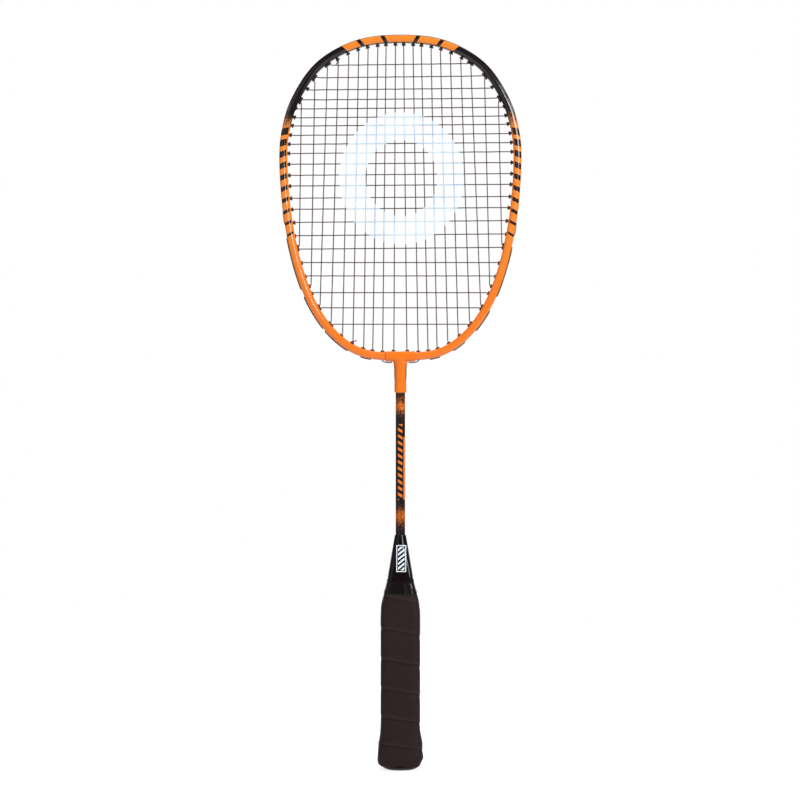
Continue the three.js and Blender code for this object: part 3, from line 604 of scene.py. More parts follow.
def rounded(points, reach):
    """The same way with each corner turned into a short arc."""
    result = [points[0]]
    for before, here, after in zip(points, points[1:], points[2:]):
        back, on = before - here, after - here
        if back.length < 1e-7 or on.length < 1e-7:
            continue
        turn = pi - back.angle(on)
        if turn < radians(2):
            result.append(here)
            continue
        cut = min(reach, CORNER_SHARE * back.length, CORNER_SHARE * on.length)
        start, end = here + back.normalized() * cut, here + on.normalized() * cut
        steps = 2 if turn < radians(25) else 4
        for k in range(steps + 1):
            result.append(bent(start, here, end, k / steps))
    result.append(points[-1])
    return result


# Mesh helpers

def sweep(bm, rings, closed=False):
    """Skin through rings of equal count, each extruded to the next, with ends joined or capped."""
    first = [bm.verts.new(p) for p in rings[0]]
    count = len(first)
    edges = [bm.edges.new((first[i], first[(i + 1) % count])) for i in range(count)]
    if not closed:
        bm.faces.new(reversed(first))
    rows, row = [first], first
    for ring in rings[1:]:
        made = bmesh.ops.extrude_edge_only(bm, edges=edges)["geom"]
        verts = [g for g in made if isinstance(g, bmesh.types.BMVert)]
        old = set(row)
        near = {e.other_vert(v): v for v in verts for e in v.link_edges if e.other_vert(v) in old}
        row = [near[v] for v in row]
        for vert, place in zip(row, ring):
            vert.co = place
        edges = [bm.edges.get((row[i], row[(i + 1) % count])) for i in range(count)]
        rows.append(row)
    if closed:
        start = [bm.edges.get((first[i], first[(i + 1) % count])) for i in range(count)]
        bmesh.ops.bridge_loops(bm, edges=start + edges)
    else:
        bm.faces.new(row)
    return rows


def spun(bm, profile, foot, axis, steps):
    """Closed solid of revolution from a profile of (radius, height) round an axis."""
    place = Matrix.Translation(foot) @ axis.to_track_quat("Z", "Y").to_matrix().to_4x4()
    before = set(bm.verts)
    verts = [bm.verts.new((r, 0, h)) for r, h in profile]
    edges = [bm.edges.new(pair) for pair in zip(verts, verts[1:] + verts[:1])]
    bmesh.ops.spin(
        bm, geom=verts + edges, cent=(0, 0, 0), axis=(0, 0, 1), angle=2 * pi, steps=steps,
        use_merge=True, use_duplicate=False)
    made = [vert for vert in bm.verts if vert not in before]
    for vert in made:
        vert.co = place @ vert.co
    return made


def add_object(name, data):
    made = bpy.data.objects.new(name, data)
    bpy.context.scene.collection.objects.link(made)
    return made


def drawn_mesh(thing):
    """Mesh of an object as it is drawn, with its curve or its modifiers worked out."""
    evaluated = thing.evaluated_get(bpy.context.evaluated_depsgraph_get())
    return bpy.data.meshes.new_from_object(evaluated)


def settle(bm):
    bmesh.ops.remove_doubles(bm, verts=bm.verts, dist=1e-7)
    bmesh.ops.dissolve_degenerate(bm, edges=bm.edges, dist=1e-7)
    bmesh.ops.recalc_face_normals(bm, faces=bm.faces)


def make_piece(bm, name, nodes, material, crease=35):
    """Object from a bmesh, smooth but for its creases, that rides on the racket."""
    mesh = bpy.data.meshes.new(name)
    bm.to_mesh(mesh)
    bm.free()
    mesh.shade_smooth()
    mesh.set_sharp_from_angle(angle=radians(crease))
    piece = add_object(name, mesh)
    mesh.materials.append(material)
    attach(piece, "root")
    if nodes:
        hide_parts(*nodes)
    return piece


def value_at(outline, z):
    """Value at a height in a table, on a smooth curve through its points."""
    if z <= outline[0][0]:
        return outline[0][1]
    for i in range(1, len(outline)):
        if z <= outline[i][0]:
            before, after = outline[max(i - 2, 0)], outline[min(i + 1, len(outline) - 1)]
            (z0, w0), (z1, w1) = outline[i - 1], outline[i]
            m0 = (w1 - before[1]) / (z1 - before[0]) * (z1 - z0)
            m1 = (after[1] - w0) / (after[0] - z0) * (z1 - z0)
            limit = 3 * abs(w1 - w0)
            m0, m1 = max(min(m0, limit), -limit), max(min(m1, limit), -limit)
            t = (z - z0) / (z1 - z0)
            return (
                w0 * (2 * t ** 3 - 3 * t * t + 1) + m0 * (t ** 3 - 2 * t * t + t)
                + w1 * (3 * t * t - 2 * t ** 3) + m1 * (t ** 3 - t * t)
            )
    return outline[-1][1]


def handle_unit(steps):
    """Unit outline of the handle, a soft octagon, from the right side round by the back."""
    q = HANDLE_QUADRANT
    corners = [
        *q, *[(-x, y) for x, y in reversed(q)],
        *[(-x, -y) for x, y in q], *[(x, -y) for x, y in reversed(q)],
    ]
    corners = [Vector((x, y, 0)) for x, y in corners]
    fine = []
    for i, corner in enumerate(corners):
        before, after = corners[i - 1], corners[(i + 1) % len(corners)]
        start, end = corner.lerp(before, CORNER_SHARE), corner.lerp(after, CORNER_SHARE)
        fine.extend(bent(start, corner, end, k / (steps - 1)) for k in range(steps))
    fine.sort(key=lambda p: atan2(p.y, p.x) % (2 * pi))
    return fine


HANDLE_UNIT = handle_unit(CORNER_STEPS)


def handle_point(index, z, half, roundness=0.0, out=0.0):
    """Point of a handle ring, pushed out along the way from the axis."""
    unit = HANDLE_UNIT[index % len(HANDLE_UNIT)]
    circle = unit.normalized()
    x = mix(unit.x, circle.x, roundness) * half
    y = mix(unit.y, circle.y, roundness) * half * mix(GRIP_DEPTH_SHARE, 1, roundness)
    reach = hypot(x, y)
    return Vector((x * (1 + out / reach), y * (1 + out / reach), z))


def handle_ring(z, half, roundness=0.0, out=0.0):
    return [handle_point(i, z, half, roundness, out) for i in range(len(HANDLE_UNIT))]


# Shader nodes, whose outputs are written as sums

def feed(socket, value):
    """Give a socket a node's output, a number or a colour."""
    if isinstance(value, Value):
        value.tree.links.new(value.socket, socket)
    elif isinstance(value, (int, float)):
        socket.default_value = value
    else:
        socket.default_value = (*value[:3], 1)


class Value:
    """Output of a shader node, with signs that make Math nodes."""

    def __init__(self, socket):
        self.socket, self.tree = socket, socket.id_data

    def math(self, operation, *others, clamp=False):
        node = self.tree.nodes.new("ShaderNodeMath")
        node.operation, node.use_clamp = operation, clamp
        for socket, value in zip(node.inputs, (self, *others)):
            feed(socket, value)
        return Value(node.outputs[0])

    __add__ = partialmethod(math, "ADD")
    __sub__ = partialmethod(math, "SUBTRACT")
    __mul__ = partialmethod(math, "MULTIPLY")
    __truediv__ = partialmethod(math, "DIVIDE")
    __lt__ = partialmethod(math, "LESS_THAN")
    __gt__ = partialmethod(math, "GREATER_THAN")
    __or__ = partialmethod(math, "MAXIMUM")
    __abs__ = partialmethod(math, "ABSOLUTE")
    fract = partialmethod(math, "FRACT")
    times_clamped = partialmethod(math, "MULTIPLY", clamp=True)
    over_clamped = partialmethod(math, "DIVIDE", clamp=True)
    less_clamped = partialmethod(math, "SUBTRACT", clamp=True)


def highest(values):
    return reduce(or_, values)


def rest_of(value):
    return value * -1.0 + 1.0


def mix_colour(factor, a, b):
    node = factor.tree.nodes.new("ShaderNodeMix")
    node.data_type = "RGBA"
    for label, value in (("Factor", factor), (6, a), (7, b)):
        feed(node.inputs[label], value)
    return Value(node.outputs[2])


def texture(kind, vector, scale, output="Fac", **settings):
    node = vector.tree.nodes.new(kind)
    feed(node.inputs["Vector"], vector)
    feed(node.inputs["Scale"], scale)
    for key, value in settings.items():
        if key in node.inputs:
            node.inputs[key].default_value = value
        else:
            setattr(node, key, value)
    return Value(node.outputs[output])


def cloud(vector, scale, detail, **settings):
    return texture("ShaderNodeTexNoise", vector, scale, Detail=detail, **settings)


def rescale(value, low, high, to_low=0.0, to_high=1.0):
    node = value.tree.nodes.new("ShaderNodeMapRange")
    labels = ("Value", "From Min", "From Max", "To Min", "To Max")
    for label, given in zip(labels, (value, low, high, to_low, to_high)):
        feed(node.inputs[label], given)
    return Value(node.outputs["Result"])


def stretched(vector, share):
    """The same coordinates, drawn out along the racket."""
    node = vector.tree.nodes.new("ShaderNodeMapping")
    feed(node.inputs["Vector"], vector)
    node.inputs["Scale"].default_value = (1, 1, share)
    return Value(node.outputs["Vector"])


def split(vector):
    node = vector.tree.nodes.new("ShaderNodeSeparateXYZ")
    feed(node.inputs[0], vector)
    return [Value(output) for output in node.outputs]


def object_place(tree):
    return Value(tree.nodes.new("ShaderNodeTexCoord").outputs["Object"])


def rays(tree, *kinds):
    """One for rays of the given kinds."""
    path = tree.nodes.new("ShaderNodeLightPath")
    return highest(Value(path.outputs[f"Is {kind} Ray"]) for kind in kinds)


# Shader groups that several finishes share

def group_shell(name, inputs, outputs):
    tree = bpy.data.node_groups.new(name, "ShaderNodeTree")
    for label, kind, default in inputs:
        socket = tree.interface.new_socket(label, in_out="INPUT", socket_type="NodeSocket" + kind)
        if default is not None:
            socket.default_value = default
    for label, kind in outputs:
        tree.interface.new_socket(label, in_out="OUTPUT", socket_type="NodeSocket" + kind)
    enter = tree.nodes.new("NodeGroupInput").outputs
    leave = tree.nodes.new("NodeGroupOutput").inputs
    return {label: Value(enter[label]) for label, _, _ in inputs}, leave


def variation_group(name):
    """Colour that drifts a little over the surface, with fine specks of dust."""
    enter, leave = group_shell(name, [
        ("Vector", "Vector", None), ("Color", "Color", (0.5, 0.5, 0.5, 1)), ("Drift", "Float", 0.1),
        ("Dust", "Float", 0.02), ("Scale", "Float", 60.0),
    ], [("Color", "Color"), ("Mask", "Float")])
    drift = cloud(enter["Vector"], enter["Scale"], 4)
    dusty = (cloud(enter["Vector"], 2600, 2) > 0.68) * enter["Dust"]
    gain = drift.tree.nodes.new("ShaderNodeVectorMath")
    gain.operation = "SCALE"
    feed(gain.inputs[0], enter["Color"])
    feed(gain.inputs["Scale"], (drift - 0.5) * enter["Drift"] * 2.0 + 1.0)
    feed(leave["Color"], mix_colour(dusty, Value(gain.outputs[0]), (0.75, 0.72, 0.7)))
    feed(leave["Mask"], drift)


def band_group(name):
    """Soft-edged mask that is one between two values."""
    enter, leave = group_shell(name, [
        ("Value", "Float", 0.0), ("Low", "Float", 0.0), ("High", "Float", 1.0),
        ("Edge", "Float", 0.01),
    ], [("Mask", "Float")])
    value, edge = enter["Value"], enter["Edge"]
    rise = (value - enter["Low"]).over_clamped(edge)
    fall = (enter["High"] - value).over_clamped(edge)
    feed(leave["Mask"], rise * fall)


GROUPS = {"Surface Variation": variation_group, "Band": band_group}


def use_group(tree, name, **values):
    """Outputs of a shared group, which is built when it is first used."""
    if name not in bpy.data.node_groups:
        GROUPS[name](name)
    node = tree.nodes.new("ShaderNodeGroup")
    node.node_tree = bpy.data.node_groups[name]
    for label, value in values.items():
        feed(node.inputs[label], value)
    return {output.name: Value(output) for output in node.outputs}


def band(value, low, high, edge):
    return use_group(value.tree, "Band", Value=value, Low=low, High=high, Edge=edge)["Mask"]


def patch(x, z, columns, rows, edges):
    """Mask of an upright rectangle, given by its columns and rows."""
    (left, right), (top, foot) = columns, rows
    return (
        band(x, column_place(left), column_place(right), edges[0])
        * band(z, row_height(foot), row_height(top), edges[1])
    )


class Finish:
    """Material of one finish, whose plain sockets are set on its Principled shader."""

    def __init__(self, name, roughness, **sockets):
        self.material = bpy.data.materials.new(name)
        self.material.use_nodes = True
        self.tree = self.material.node_tree
        self.shader = self.tree.nodes["Principled BSDF"].inputs
        self.place = object_place(self.tree)
        for label, value in {"Roughness": roughness, **sockets}.items():
            self.shader[label.replace("_", " ")].default_value = value

    def attribute(self, name):
        node = self.tree.nodes.new("ShaderNodeAttribute")
        node.attribute_name = name
        return Value(node.outputs["Fac"])

    def varied(self, colour, drift, dust, **more):
        """The colour with drift and dust, and the drift itself."""
        made = use_group(
            self.tree, "Surface Variation", Vector=self.place, Color=colour, Drift=drift,
            Dust=dust, **more)
        return made["Color"], made["Mask"]

    def done(self, colour, grain, roughness, strength, distance, height=None):
        """The finished material, whose grain varies roughness and, but for a height, the relief."""
        feed(self.shader["Base Color"], colour)
        feed(self.shader["Roughness"], rescale(grain, 0.0, 1.0, *roughness))
        bump = self.tree.nodes.new("ShaderNodeBump")
        feed(bump.inputs["Strength"], strength)
        feed(bump.inputs["Distance"], distance)
        feed(bump.inputs["Height"], height or grain)
        self.tree.links.new(bump.outputs["Normal"], self.shader["Normal"])
        return self.material


# Finishes

def head_paint():
    """Two-tone lacquer: plain orange below, bars at the sides, black with dashes on top."""
    paint = Finish("head_paint", 0.24, Coat_Weight=0.6, Coat_Roughness=0.14, Specular_IOR_Level=0.1)
    across, along = paint.attribute("across"), paint.attribute("along")
    away = abs(along)
    # Painted highlight: above a row the orange turns lighter and warmer, standing in for the
    # stronger light on the upper head
    lit_share = rescale(split(paint.place)[2], row_height(ORANGE_TOP), row_height(LIT_ORANGE_FOOT))
    orange, _ = paint.varied(mix_colour(lit_share, colours().orange, colours().lit_orange), 0.04, 0.01)
    black, _ = paint.varied(colours().black, 0.3, 0.02)

    first, last, pitch, slant = SIDE_BARS
    near, far = away_at_row(first, -1), away_at_row(last, -1)
    lean = away + across * slant
    bars = ((lean - near) / pitch).fract() < rescale(away, near, far, 0.66, 0.2)
    bars = bars * band(lean, near, far + slant, 0.0001) * band(across, 0.05, 0.86, 0.02)

    specks = cloud(paint.place, 1500, 3.0, Roughness=0.7)
    flow = paint.tree.nodes.new("ShaderNodeCombineXYZ")
    feed(flow.inputs["X"], along * 110.0)
    feed(flow.inputs["Y"], across * 9.0)
    glint_streaks = cloud(Value(flow.outputs[0]), 1.0, 2.0, Distortion=0.3)
    upper, sprayed, fibres = [], [], []
    for sign, (foot, top), (start, end, reach, weight) in HEAD_SIDES:
        half = along < 0.0 if sign < 0 else along > 0.0
        near, far = away_at_row(top, sign), away_at_row(foot, sign)
        spots = (specks - rescale(away, far, near, 0.62, 0.24)).times_clamped(14.0) * (away < far)
        upper.append((spots | (away < near)) * half)
        sprayed.append(band(away, near, far, 0.004) * half)
        zone = band(away, away_at_row(start, sign), away_at_row(end, sign), 0.012) * half
        fibres.append(zone * band(across, 0.0, reach, 0.1) * weight)
    dashes = highest(
        band(away + across * DASH_SLANT, low + DASH_SLANT / 2, high + DASH_SLANT / 2, 0.0001)
        for low, high in TOP_DASHES)
    dark = (bars | highest(upper)).less_clamped(dashes * band(across, 0.1, 0.93, 0.02))
    orange = mix_colour(highest(sprayed) * 0.6, orange, (0.36, 0.18, 0.07))
    glint_streaks = (glint_streaks - 0.46).times_clamped(6.0)
    # Bare fibres with painted glints: pale grey lines over the black near the outer side, standing
    # in for reflections along them
    fibres_with_painted_glints = mix_colour(highest(fibres) * glint_streaks, black, (0.26, 0.25, 0.26))
    peel = cloud(paint.place, 260, 1.0)
    return paint.done(mix_colour(dark, orange, fibres_with_painted_glints), peel, (0.22, 0.27), 0.008, 0.0004)


def joint_paint():
    """Orange lacquer that leaves the stem's sides dark above its collar."""
    paint = Finish(
        "joint_paint", 0.24, Coat_Weight=0.3, Coat_Roughness=0.14, Specular_IOR_Level=0.1)
    x, _, z = split(paint.place)
    orange, _ = paint.varied((0.93, 0.2, 0.012), 0.04, 0.01)
    sides = (abs(x) > 0.00435) * band(z, row_height(385.5), row_height(366), 0.0004)
    colour = mix_colour(sides, orange, colours().black)
    return paint.done(colour, cloud(paint.place, 260, 1.0), (0.22, 0.27), 0.008, 0.0004)


def grommet_nylon():
    """Dull dark nylon, with a painted reddish reflection of the orange lacquer on the tips below a
    row.
    """
    nylon = Finish("grommet_nylon", 0.42)
    base, _ = nylon.varied(colours().grommet, 0.3, 0.06, Scale=300)
    # Painted reflection: tips on the lower, orange part of the hoop turn reddish, as if they
    # mirrored the orange lacquer
    low = split(nylon.place)[2] < row_height(196)
    low = low * band(nylon.attribute("across"), 0.98, 2.0, 0.1)
    colour = mix_colour(low * 0.8, base, (0.11, 0.02, 0.009))
    return nylon.done(colour, cloud(nylon.place, 2400, 2.0), (0.36, 0.5), 0.2, 0.0001)


def string_nylon():
    """Braided string under a clear skin, with a plain ring painted on over it."""
    nylon = Finish("string_nylon", 0.38, Coat_Weight=0.3, Coat_Roughness=0.2)
    x, _, z = split(nylon.place)
    plain, _ = nylon.varied(colours().string, 0.35, 0.02, Scale=400)
    ragged = cloud(nylon.place, 1800, 3.0)
    width, height, edge = sizes().stencil_width, sizes().stencil_height, sizes().stencil_band
    aside, up = (x - 0.0009) / (width / 2), (z - row_height(178)) / (height / 2)
    reach = (aside * aside + up * up).math("SQRT") + ragged * 0.024
    ring = (reach < 1.0) * (reach > 1 - 2 * edge / width) * (ragged < 0.74)
    thin = (cloud(nylon.place, 34, 1.0) - 0.42).times_clamped(4.0)
    ink = mix_colour(thin * 0.75, colours().stencil, (0.3, 0.44, 0.7))
    braid = texture(
        "ShaderNodeTexWave", nylon.place, 900, wave_type="BANDS", bands_direction="DIAGONAL",
        Distortion=0.6)
    return nylon.done(mix_colour(ring, plain, ink), braid, (0.32, 0.5), 0.25, 0.00008)


def shaft_paint():
    """Black lacquer with orange spray at both ends, a row of plain bars and a thin stripe."""
    paint = Finish(
        "shaft_paint", 0.28, Coat_Weight=0.15, Coat_Roughness=0.12, Specular_IOR_Level=0.25)
    x, y, z = split(paint.place)
    specks = cloud(paint.place, 1150, 3.0, Roughness=0.65)
    glows = [
        rescale(z, row_height(low), row_height(rise)).math(
            "MINIMUM", rescale(z, row_height(top), row_height(fall)))
        for top, fall, rise, low in SHAFT_SPRAYS
    ]
    spray = highest((specks - (glow * -0.24 + 0.67)).times_clamped(9.0) for glow in glows)
    stripe = patch(x, z, (403.0, 404.6), (437, 500), (0.0001, 0.0003))
    bars = band(((x * 0.6 + z) / 0.0051).fract(), 0.2, 0.68, 0.04)
    bars = bars * patch(x, z, (397.4, 402.0), (424, 500), (0.0001, 0.0003))
    black, _ = paint.varied(colours().black, 0.3, 0.02)
    mist = mix_colour(highest(glows), (0.16, 0.05, 0.015), colours().orange)
    under = mix_colour(spray, black, mist)
    colour = mix_colour((stripe | bars) * (y < 0.0), under, colours().orange)
    return paint.done(colour, cloud(paint.place, 300, 1.0), (0.22, 0.32), 0.05, 0.0003)


def cone_plastic():
    """Gloss black moulding with a plain framed panel of slanted bars on its front."""
    plastic = Finish(
        "cone_plastic", 0.3, Specular_IOR_Level=0.1, Coat_Weight=0.22, Coat_Roughness=0.2)
    x, y, z = split(plastic.place)
    base, _ = plastic.varied((0.0055, 0.0023, 0.0031), 0.2, 0.02)

    def panel(inset):
        """Rectangle of the panel, smaller all round by a number of rows."""
        columns, rows = (395.9 + inset, 405.8 - inset), (545.0 + inset, 571.6 - inset)
        return patch(x, z, columns, rows, (0.00008, 0.00008))

    marks = band(((x * -0.8 + z) / 0.0036).fract(), 0.25, 0.78, 0.05) * panel(1.648)
    white = (panel(0).less_clamped(panel(0.887)) | marks) * (y < 0.0)
    colour = mix_colour(white, base, (0.84, 0.92, 0.97))
    return plastic.done(colour, cloud(plastic.place, 300, 1.0), (0.14, 0.26), 0.06, 0.0003)


def tape_vinyl():
    """Shiny stretched film with ripples and thin upright folds."""
    vinyl = Finish("tape_vinyl", 0.24, Specular_IOR_Level=0.24)
    base, _ = vinyl.varied((0.0058, 0.0032, 0.0038), 0.3, 0.02)
    ripple = cloud(vinyl.place, 160, 3.0, Distortion=0.8)
    folds = abs(cloud(stretched(vinyl.place, 0.3), 130, 1.0) * 2.0 - 1.0)
    lift = rest_of(folds).math("POWER", 9.0) * 0.5 + ripple
    return vinyl.done(base, ripple, (0.18, 0.32), 0.16, 0.0011, lift)


def grip_polymer():
    """Soft polyurethane: fine leather grain, faint cloudy colour, painted shade in the seams and a
    painted highlight on the ridges.
    """
    skin = Finish(
        "grip_polymer", 0.55, Sheen_Weight=0.55, Sheen_Roughness=0.16, Specular_IOR_Level=0.14)
    across = skin.attribute("across")
    cloudy, mask = skin.varied(colours().grip, 0.28, 0.03, Scale=45)
    # Painted shade: darker in the groove just below each seam
    edge = mix_colour(band(across, 0.0, 0.05, 0.03) * 0.7, cloudy, (0.005, 0.003, 0.003))
    # Painted highlight: lighter along the raised edge of each turn
    edge = mix_colour(band(across, 0.86, 0.985, 0.07) * 0.5, edge, (0.034, 0.025, 0.025))
    cells = texture("ShaderNodeTexVoronoi", skin.place, 1500, "Distance", Randomness=1.0)
    height = cloud(skin.place, 3200, 3.0) * 0.4 + cells
    return skin.done(edge, mask, (0.5, 0.7), 0.35, 0.00012, height)


def cap_rubber():
    rubber = Finish("cap_rubber", 0.55, Specular_IOR_Level=0.14)
    base, _ = rubber.varied((0.0195, 0.0094, 0.0096), 0.25, 0.06, Scale=80)
    return rubber.done(base, cloud(rubber.place, 1500, 3.0), (0.45, 0.65), 0.25, 0.00012)


def core_wood():
    """Pale wood with rings that run along the handle."""
    wood = Finish("core_wood", 0.6)
    rings = texture(
        "ShaderNodeTexWave", stretched(wood.place, 0.06), 160, wave_type="RINGS",
        rings_direction="Z", Distortion=3.0, Detail=3.0)
    colour = mix_colour(rings, (0.42, 0.26, 0.13), (0.62, 0.42, 0.23))
    return wood.done(colour, rings, (0.5, 0.7), 0.2, 0.0002)


# Operators, one for each piece or group of like pieces

class RACKET_OT_head_frame(bpy.types.Operator):
    """Sweep the grooved hoop section round the head"""
    bl_idname = "racket.head_frame"
    bl_label = "Head Frame"

    def execute(self, context):
        bm = bmesh.new()
        across, along = (bm.verts.layers.float.new(name) for name in ("across", "along"))
        end = 0.0003 / RAIL_LENGTH
        stations = [rail_at(mix(end, 1 - end, k / HOOP_STEPS)) for k in range(HOOP_STEPS + 1)]
        rows = sweep(bm, [self.ring(station) for station in stations])
        for station, row in zip(stations, rows):
            for vert in row:
                vert[across] = -(vert.co - station.point).dot(station.outward) / HOOP_FACE
                vert[along] = (station.at - 0.5) * RAIL_LENGTH
        settle(bm)
        make_piece(bm, "head_frame_skin", ["head_frame"], head_paint())
        return {"FINISHED"}

    def ring(self, station):
        gap = groove_half()
        coarse = [share for share, _ in HOOP_SECTION if not RIDGE_LOW < share < RIDGE_HIGH]
        half = [
            (-share * HOOP_FACE, value_at(HOOP_SECTION, share) * HOOP_DEPTH / 2)
            for share in sorted(coarse + RIDGE_SHARES)
        ]
        lip = [(-station.groove, gap), (-0.0003, gap), (-0.00008, gap + 0.00012)]
        back = lip + half
        outline = back + [(n, -y) for n, y in reversed(back)]
        return [off_rail(station, n, y) for n, y in outline]


class RACKET_OT_t_joint(bpy.types.Operator):
    """Blend the sleeve over the hoop's ends into the stem that takes the shaft"""
    bl_idname = "racket.t_joint"
    bl_label = "T-Joint"

    def execute(self, context):
        bm = bmesh.new()
        self.add_sleeve(bm)
        self.add_stem(bm)
        bmesh.ops.recalc_face_normals(bm, faces=bm.faces)
        piece = make_piece(bm, "t_joint_skin", ["t_joint"], joint_paint(), crease=60)
        merge = piece.modifiers.new("Blend", "REMESH")
        merge.mode = "VOXEL"
        merge.voxel_size = BLEND_VOXEL
        merge.use_smooth_shade = True
        soft = piece.modifiers.new("Soften", "SMOOTH")
        soft.factor = 0.5
        soft.iterations = 6
        mesh = drawn_mesh(piece)
        piece.modifiers.clear()
        old, piece.data = piece.data, mesh
        mesh.name = piece.name
        bpy.data.meshes.remove(old)
        mesh.shade_smooth()
        return {"FINISHED"}

    def add_sleeve(self, bm):
        reach = SLEEVE_LENGTH / 2 / RAIL_LENGTH
        skin = SEAT_GAP + SLEEVE_WALL
        offsets = [
            (-1, -0.0007), (-0.97, -0.0001), *((k / 8, 0) for k in range(-7, 8)),
            (0.97, -0.0001), (1, -0.0007),
        ]
        rings = []
        for share, inset in offsets:
            at = share * reach
            station = rail_at(at % 1.0)
            grow = skin + inset
            half, face, power = HOOP_DEPTH / 2 + grow, HOOP_FACE / 2 + grow, 2 / SLEEVE_POWER
            ring = []
            for k in range(SLEEVE_SIDES):
                angle = 2 * pi * k / SLEEVE_SIDES
                c, s = cos(angle), sin(angle)
                v = abs(s) ** power * (1 if s > 0 else -1) * half
                u = abs(c) ** power * (1 if c > 0 else -1) * face
                ring.append(off_rail(station, u - HOOP_FACE / 2, v))
            rings.append(ring)
        sweep(bm, rings)

    def add_stem(self, bm):
        profile = [(radius, STEM_FOOT + up) for radius, up in STEM_LOW]
        profile += [(radius, HEAD_BOTTOM + up) for radius, up in STEM_HIGH]
        turns = [2 * pi * k / STEM_SIDES for k in range(STEM_SIDES)]
        sweep(bm, [[Vector((r * cos(a), r * sin(a), z)) for a in turns] for r, z in profile])


class RACKET_OT_grommets(bpy.types.Operator):
    """Line the groove with strips and every string hole with a barrel"""
    bl_idname = "racket.grommets"
    bl_label = "Grommets"

    def execute(self, context):
        left, right = make_holes()
        self.holes = holes_in_order(left, right)
        self.material = grommet_nylon()
        spans = {
            "head_grommet_strip": (left.top[4], right.top[4]),
            "left_shoulder_strip": (left.cross[6], left.top[3]),
            "right_shoulder_strip": (right.top[3], right.cross[6]),
            "left_side_strip": (left.cross[17], left.cross[7]),
            "right_side_strip": (right.cross[7], right.cross[17]),
            "left_lower_strip": (left.bottom[9], left.bottom[1]),
            "right_lower_strip": (right.bottom[1], right.bottom[9]),
        }
        for node, (first, last) in spans.items():
            self.strip(node, first, last)
        for side, holes in (("left", left), ("right", right)):
            bm = bmesh.new()
            self.barrel(bm, holes.bottom[MAINS_PER_SIDE])
            self.finish(bm, f"{side}_throat_grommet")
        return {"FINISHED"}

    def margin(self, hole, way):
        beside = self.holes[[id(other) for other in self.holes].index(id(hole)) + way]
        room = abs(beside.at - hole.at) / 2 - SEAT_GAP / RAIL_LENGTH
        return min(STRIP_END_MARGIN / RAIL_LENGTH, room)

    def strip(self, node, first, last):
        bm = bmesh.new()
        start, end = first.at - self.margin(first, -1), last.at + self.margin(last, 1)
        half = groove_half() - 0.0002
        rings = []
        for station in stations_between(start, end):
            low = SEAT_GAP - station.groove
            high = low + STRIP_THICKNESS
            upper = [
                (low, half), (high - 0.0002, half), (high, half - 0.0003),
                (high - 0.00018, half - 0.0007),
            ]
            outline = upper + [(n, -y) for n, y in reversed(upper)]
            rings.append([off_rail(station, n, y) for n, y in outline])
        sweep(bm, rings)
        for hole in self.holes:
            if first.at <= hole.at <= last.at:
                self.barrel(bm, hole)
        self.finish(bm, node)

    def barrel(self, bm, hole):
        """Tube from the strip through the hoop, with a rim round its tip."""
        radius = sizes().string_diameter / 2 + SEAT_GAP + GROMMET_WALL
        bore = sizes().string_diameter / 2 + 0.00014
        rim = radius + sizes().rim_widening
        tip = -tip_out(hole)
        start = 0.0 if hole.in_sleeve else hole.station.groove - SEAT_GAP
        foot = max(tip - 0.0011, tip - hole.tip + 0.0001)
        neck = max(foot - 0.0003, tip - hole.tip - 0.0001)
        profile = [
            (bore + 0.0002, start), (radius, start), (radius - 0.00016, neck),
            (rim - 0.00014, foot), (rim, foot + 0.0001), (rim, tip - 0.0004),
            (rim - 0.0001, tip - 0.00015), (rim - 0.00035, tip), (bore + 0.0002, tip),
            (bore, tip - 0.0002), (bore, start + 0.0003),
        ]
        middle = hole_point(hole, 0, 0)
        axis = (hole_point(hole, -0.01, 0) - middle).normalized()
        across = bm.verts.layers.float.get("across") or bm.verts.layers.float.new("across")
        made = spun(bm, profile, middle, axis, BARREL_SIDES)
        for vert in made:
            vert[across] = -(vert.co - middle).dot(hole.station.outward) / HOOP_FACE
        if not hole.twin:
            return
        strands = [hole_point(hole, 0, y, strand_forth(hole, y)) for y in (0, hole.twin)]
        way = (strands[1] - strands[0]).normalized()
        for vert in made:
            beside = (vert.co - middle).dot(way)
            vert.co += (strands[1] if beside > 1e-9 else strands[0]) - middle

    def finish(self, bm, node):
        settle(bm)
        make_piece(bm, node + "_fine", [node], self.material, crease=40)


class RACKET_OT_string(bpy.types.Operator):
    """Lead one string through every hole, over and under, and tie off its ends"""
    bl_idname = "racket.string"
    bl_label = "String"

    def execute(self, context):
        material = string_nylon()
        self.tube("string_run", rounded(Route().laid(), STRING_BEND), ["string"], material)
        left, _ = make_holes()
        self.tube("knot_top", self.knot(left.top[4], lane_pitch()), [], material)
        self.tube("knot_bottom", self.knot(left.bottom[6], -lane_pitch()), [], material)
        return {"FINISHED"}

    def knot(self, hole, twin):
        """A turn and a half of the string round its neighbour, close under the grommet."""
        start = hole_point(hole, tip_out(hole) + 0.0004, 0)
        way = Vector((0, 0, -1 if hole.station.point.z > 0.45 else 1))
        radius = sizes().string_diameter * 0.8
        points = []
        for k in range(KNOT_STEPS + 1):
            angle = 2 * pi * 1.5 * k / KNOT_STEPS + (0 if twin > 0 else pi) + pi / 2
            along = sizes().string_diameter * 1.4 * k / KNOT_STEPS
            aside = Vector((cos(angle) * radius, sin(angle) * radius, 0))
            points.append(start + aside + way * along)
        return points

    def tube(self, name, points, nodes, material):
        curve = bpy.data.curves.new(name, "CURVE")
        curve.dimensions = "3D"
        curve.bevel_depth = sizes().string_diameter / 2
        curve.bevel_resolution = 2
        curve.use_fill_caps = True
        spline = curve.splines.new("POLY")
        spline.points.add(len(points) - 1)
        for point, place in zip(spline.points, points):
            point.co = (*place, 1)
        line = add_object(name + "_line", curve)
        mesh = drawn_mesh(line)
        bpy.data.objects.remove(line)
        bm = bmesh.new()
        bm.from_mesh(mesh)
        bpy.data.meshes.remove(mesh)
        bmesh.ops.recalc_face_normals(bm, faces=bm.faces)
        make_piece(bm, name, nodes, material, crease=60)


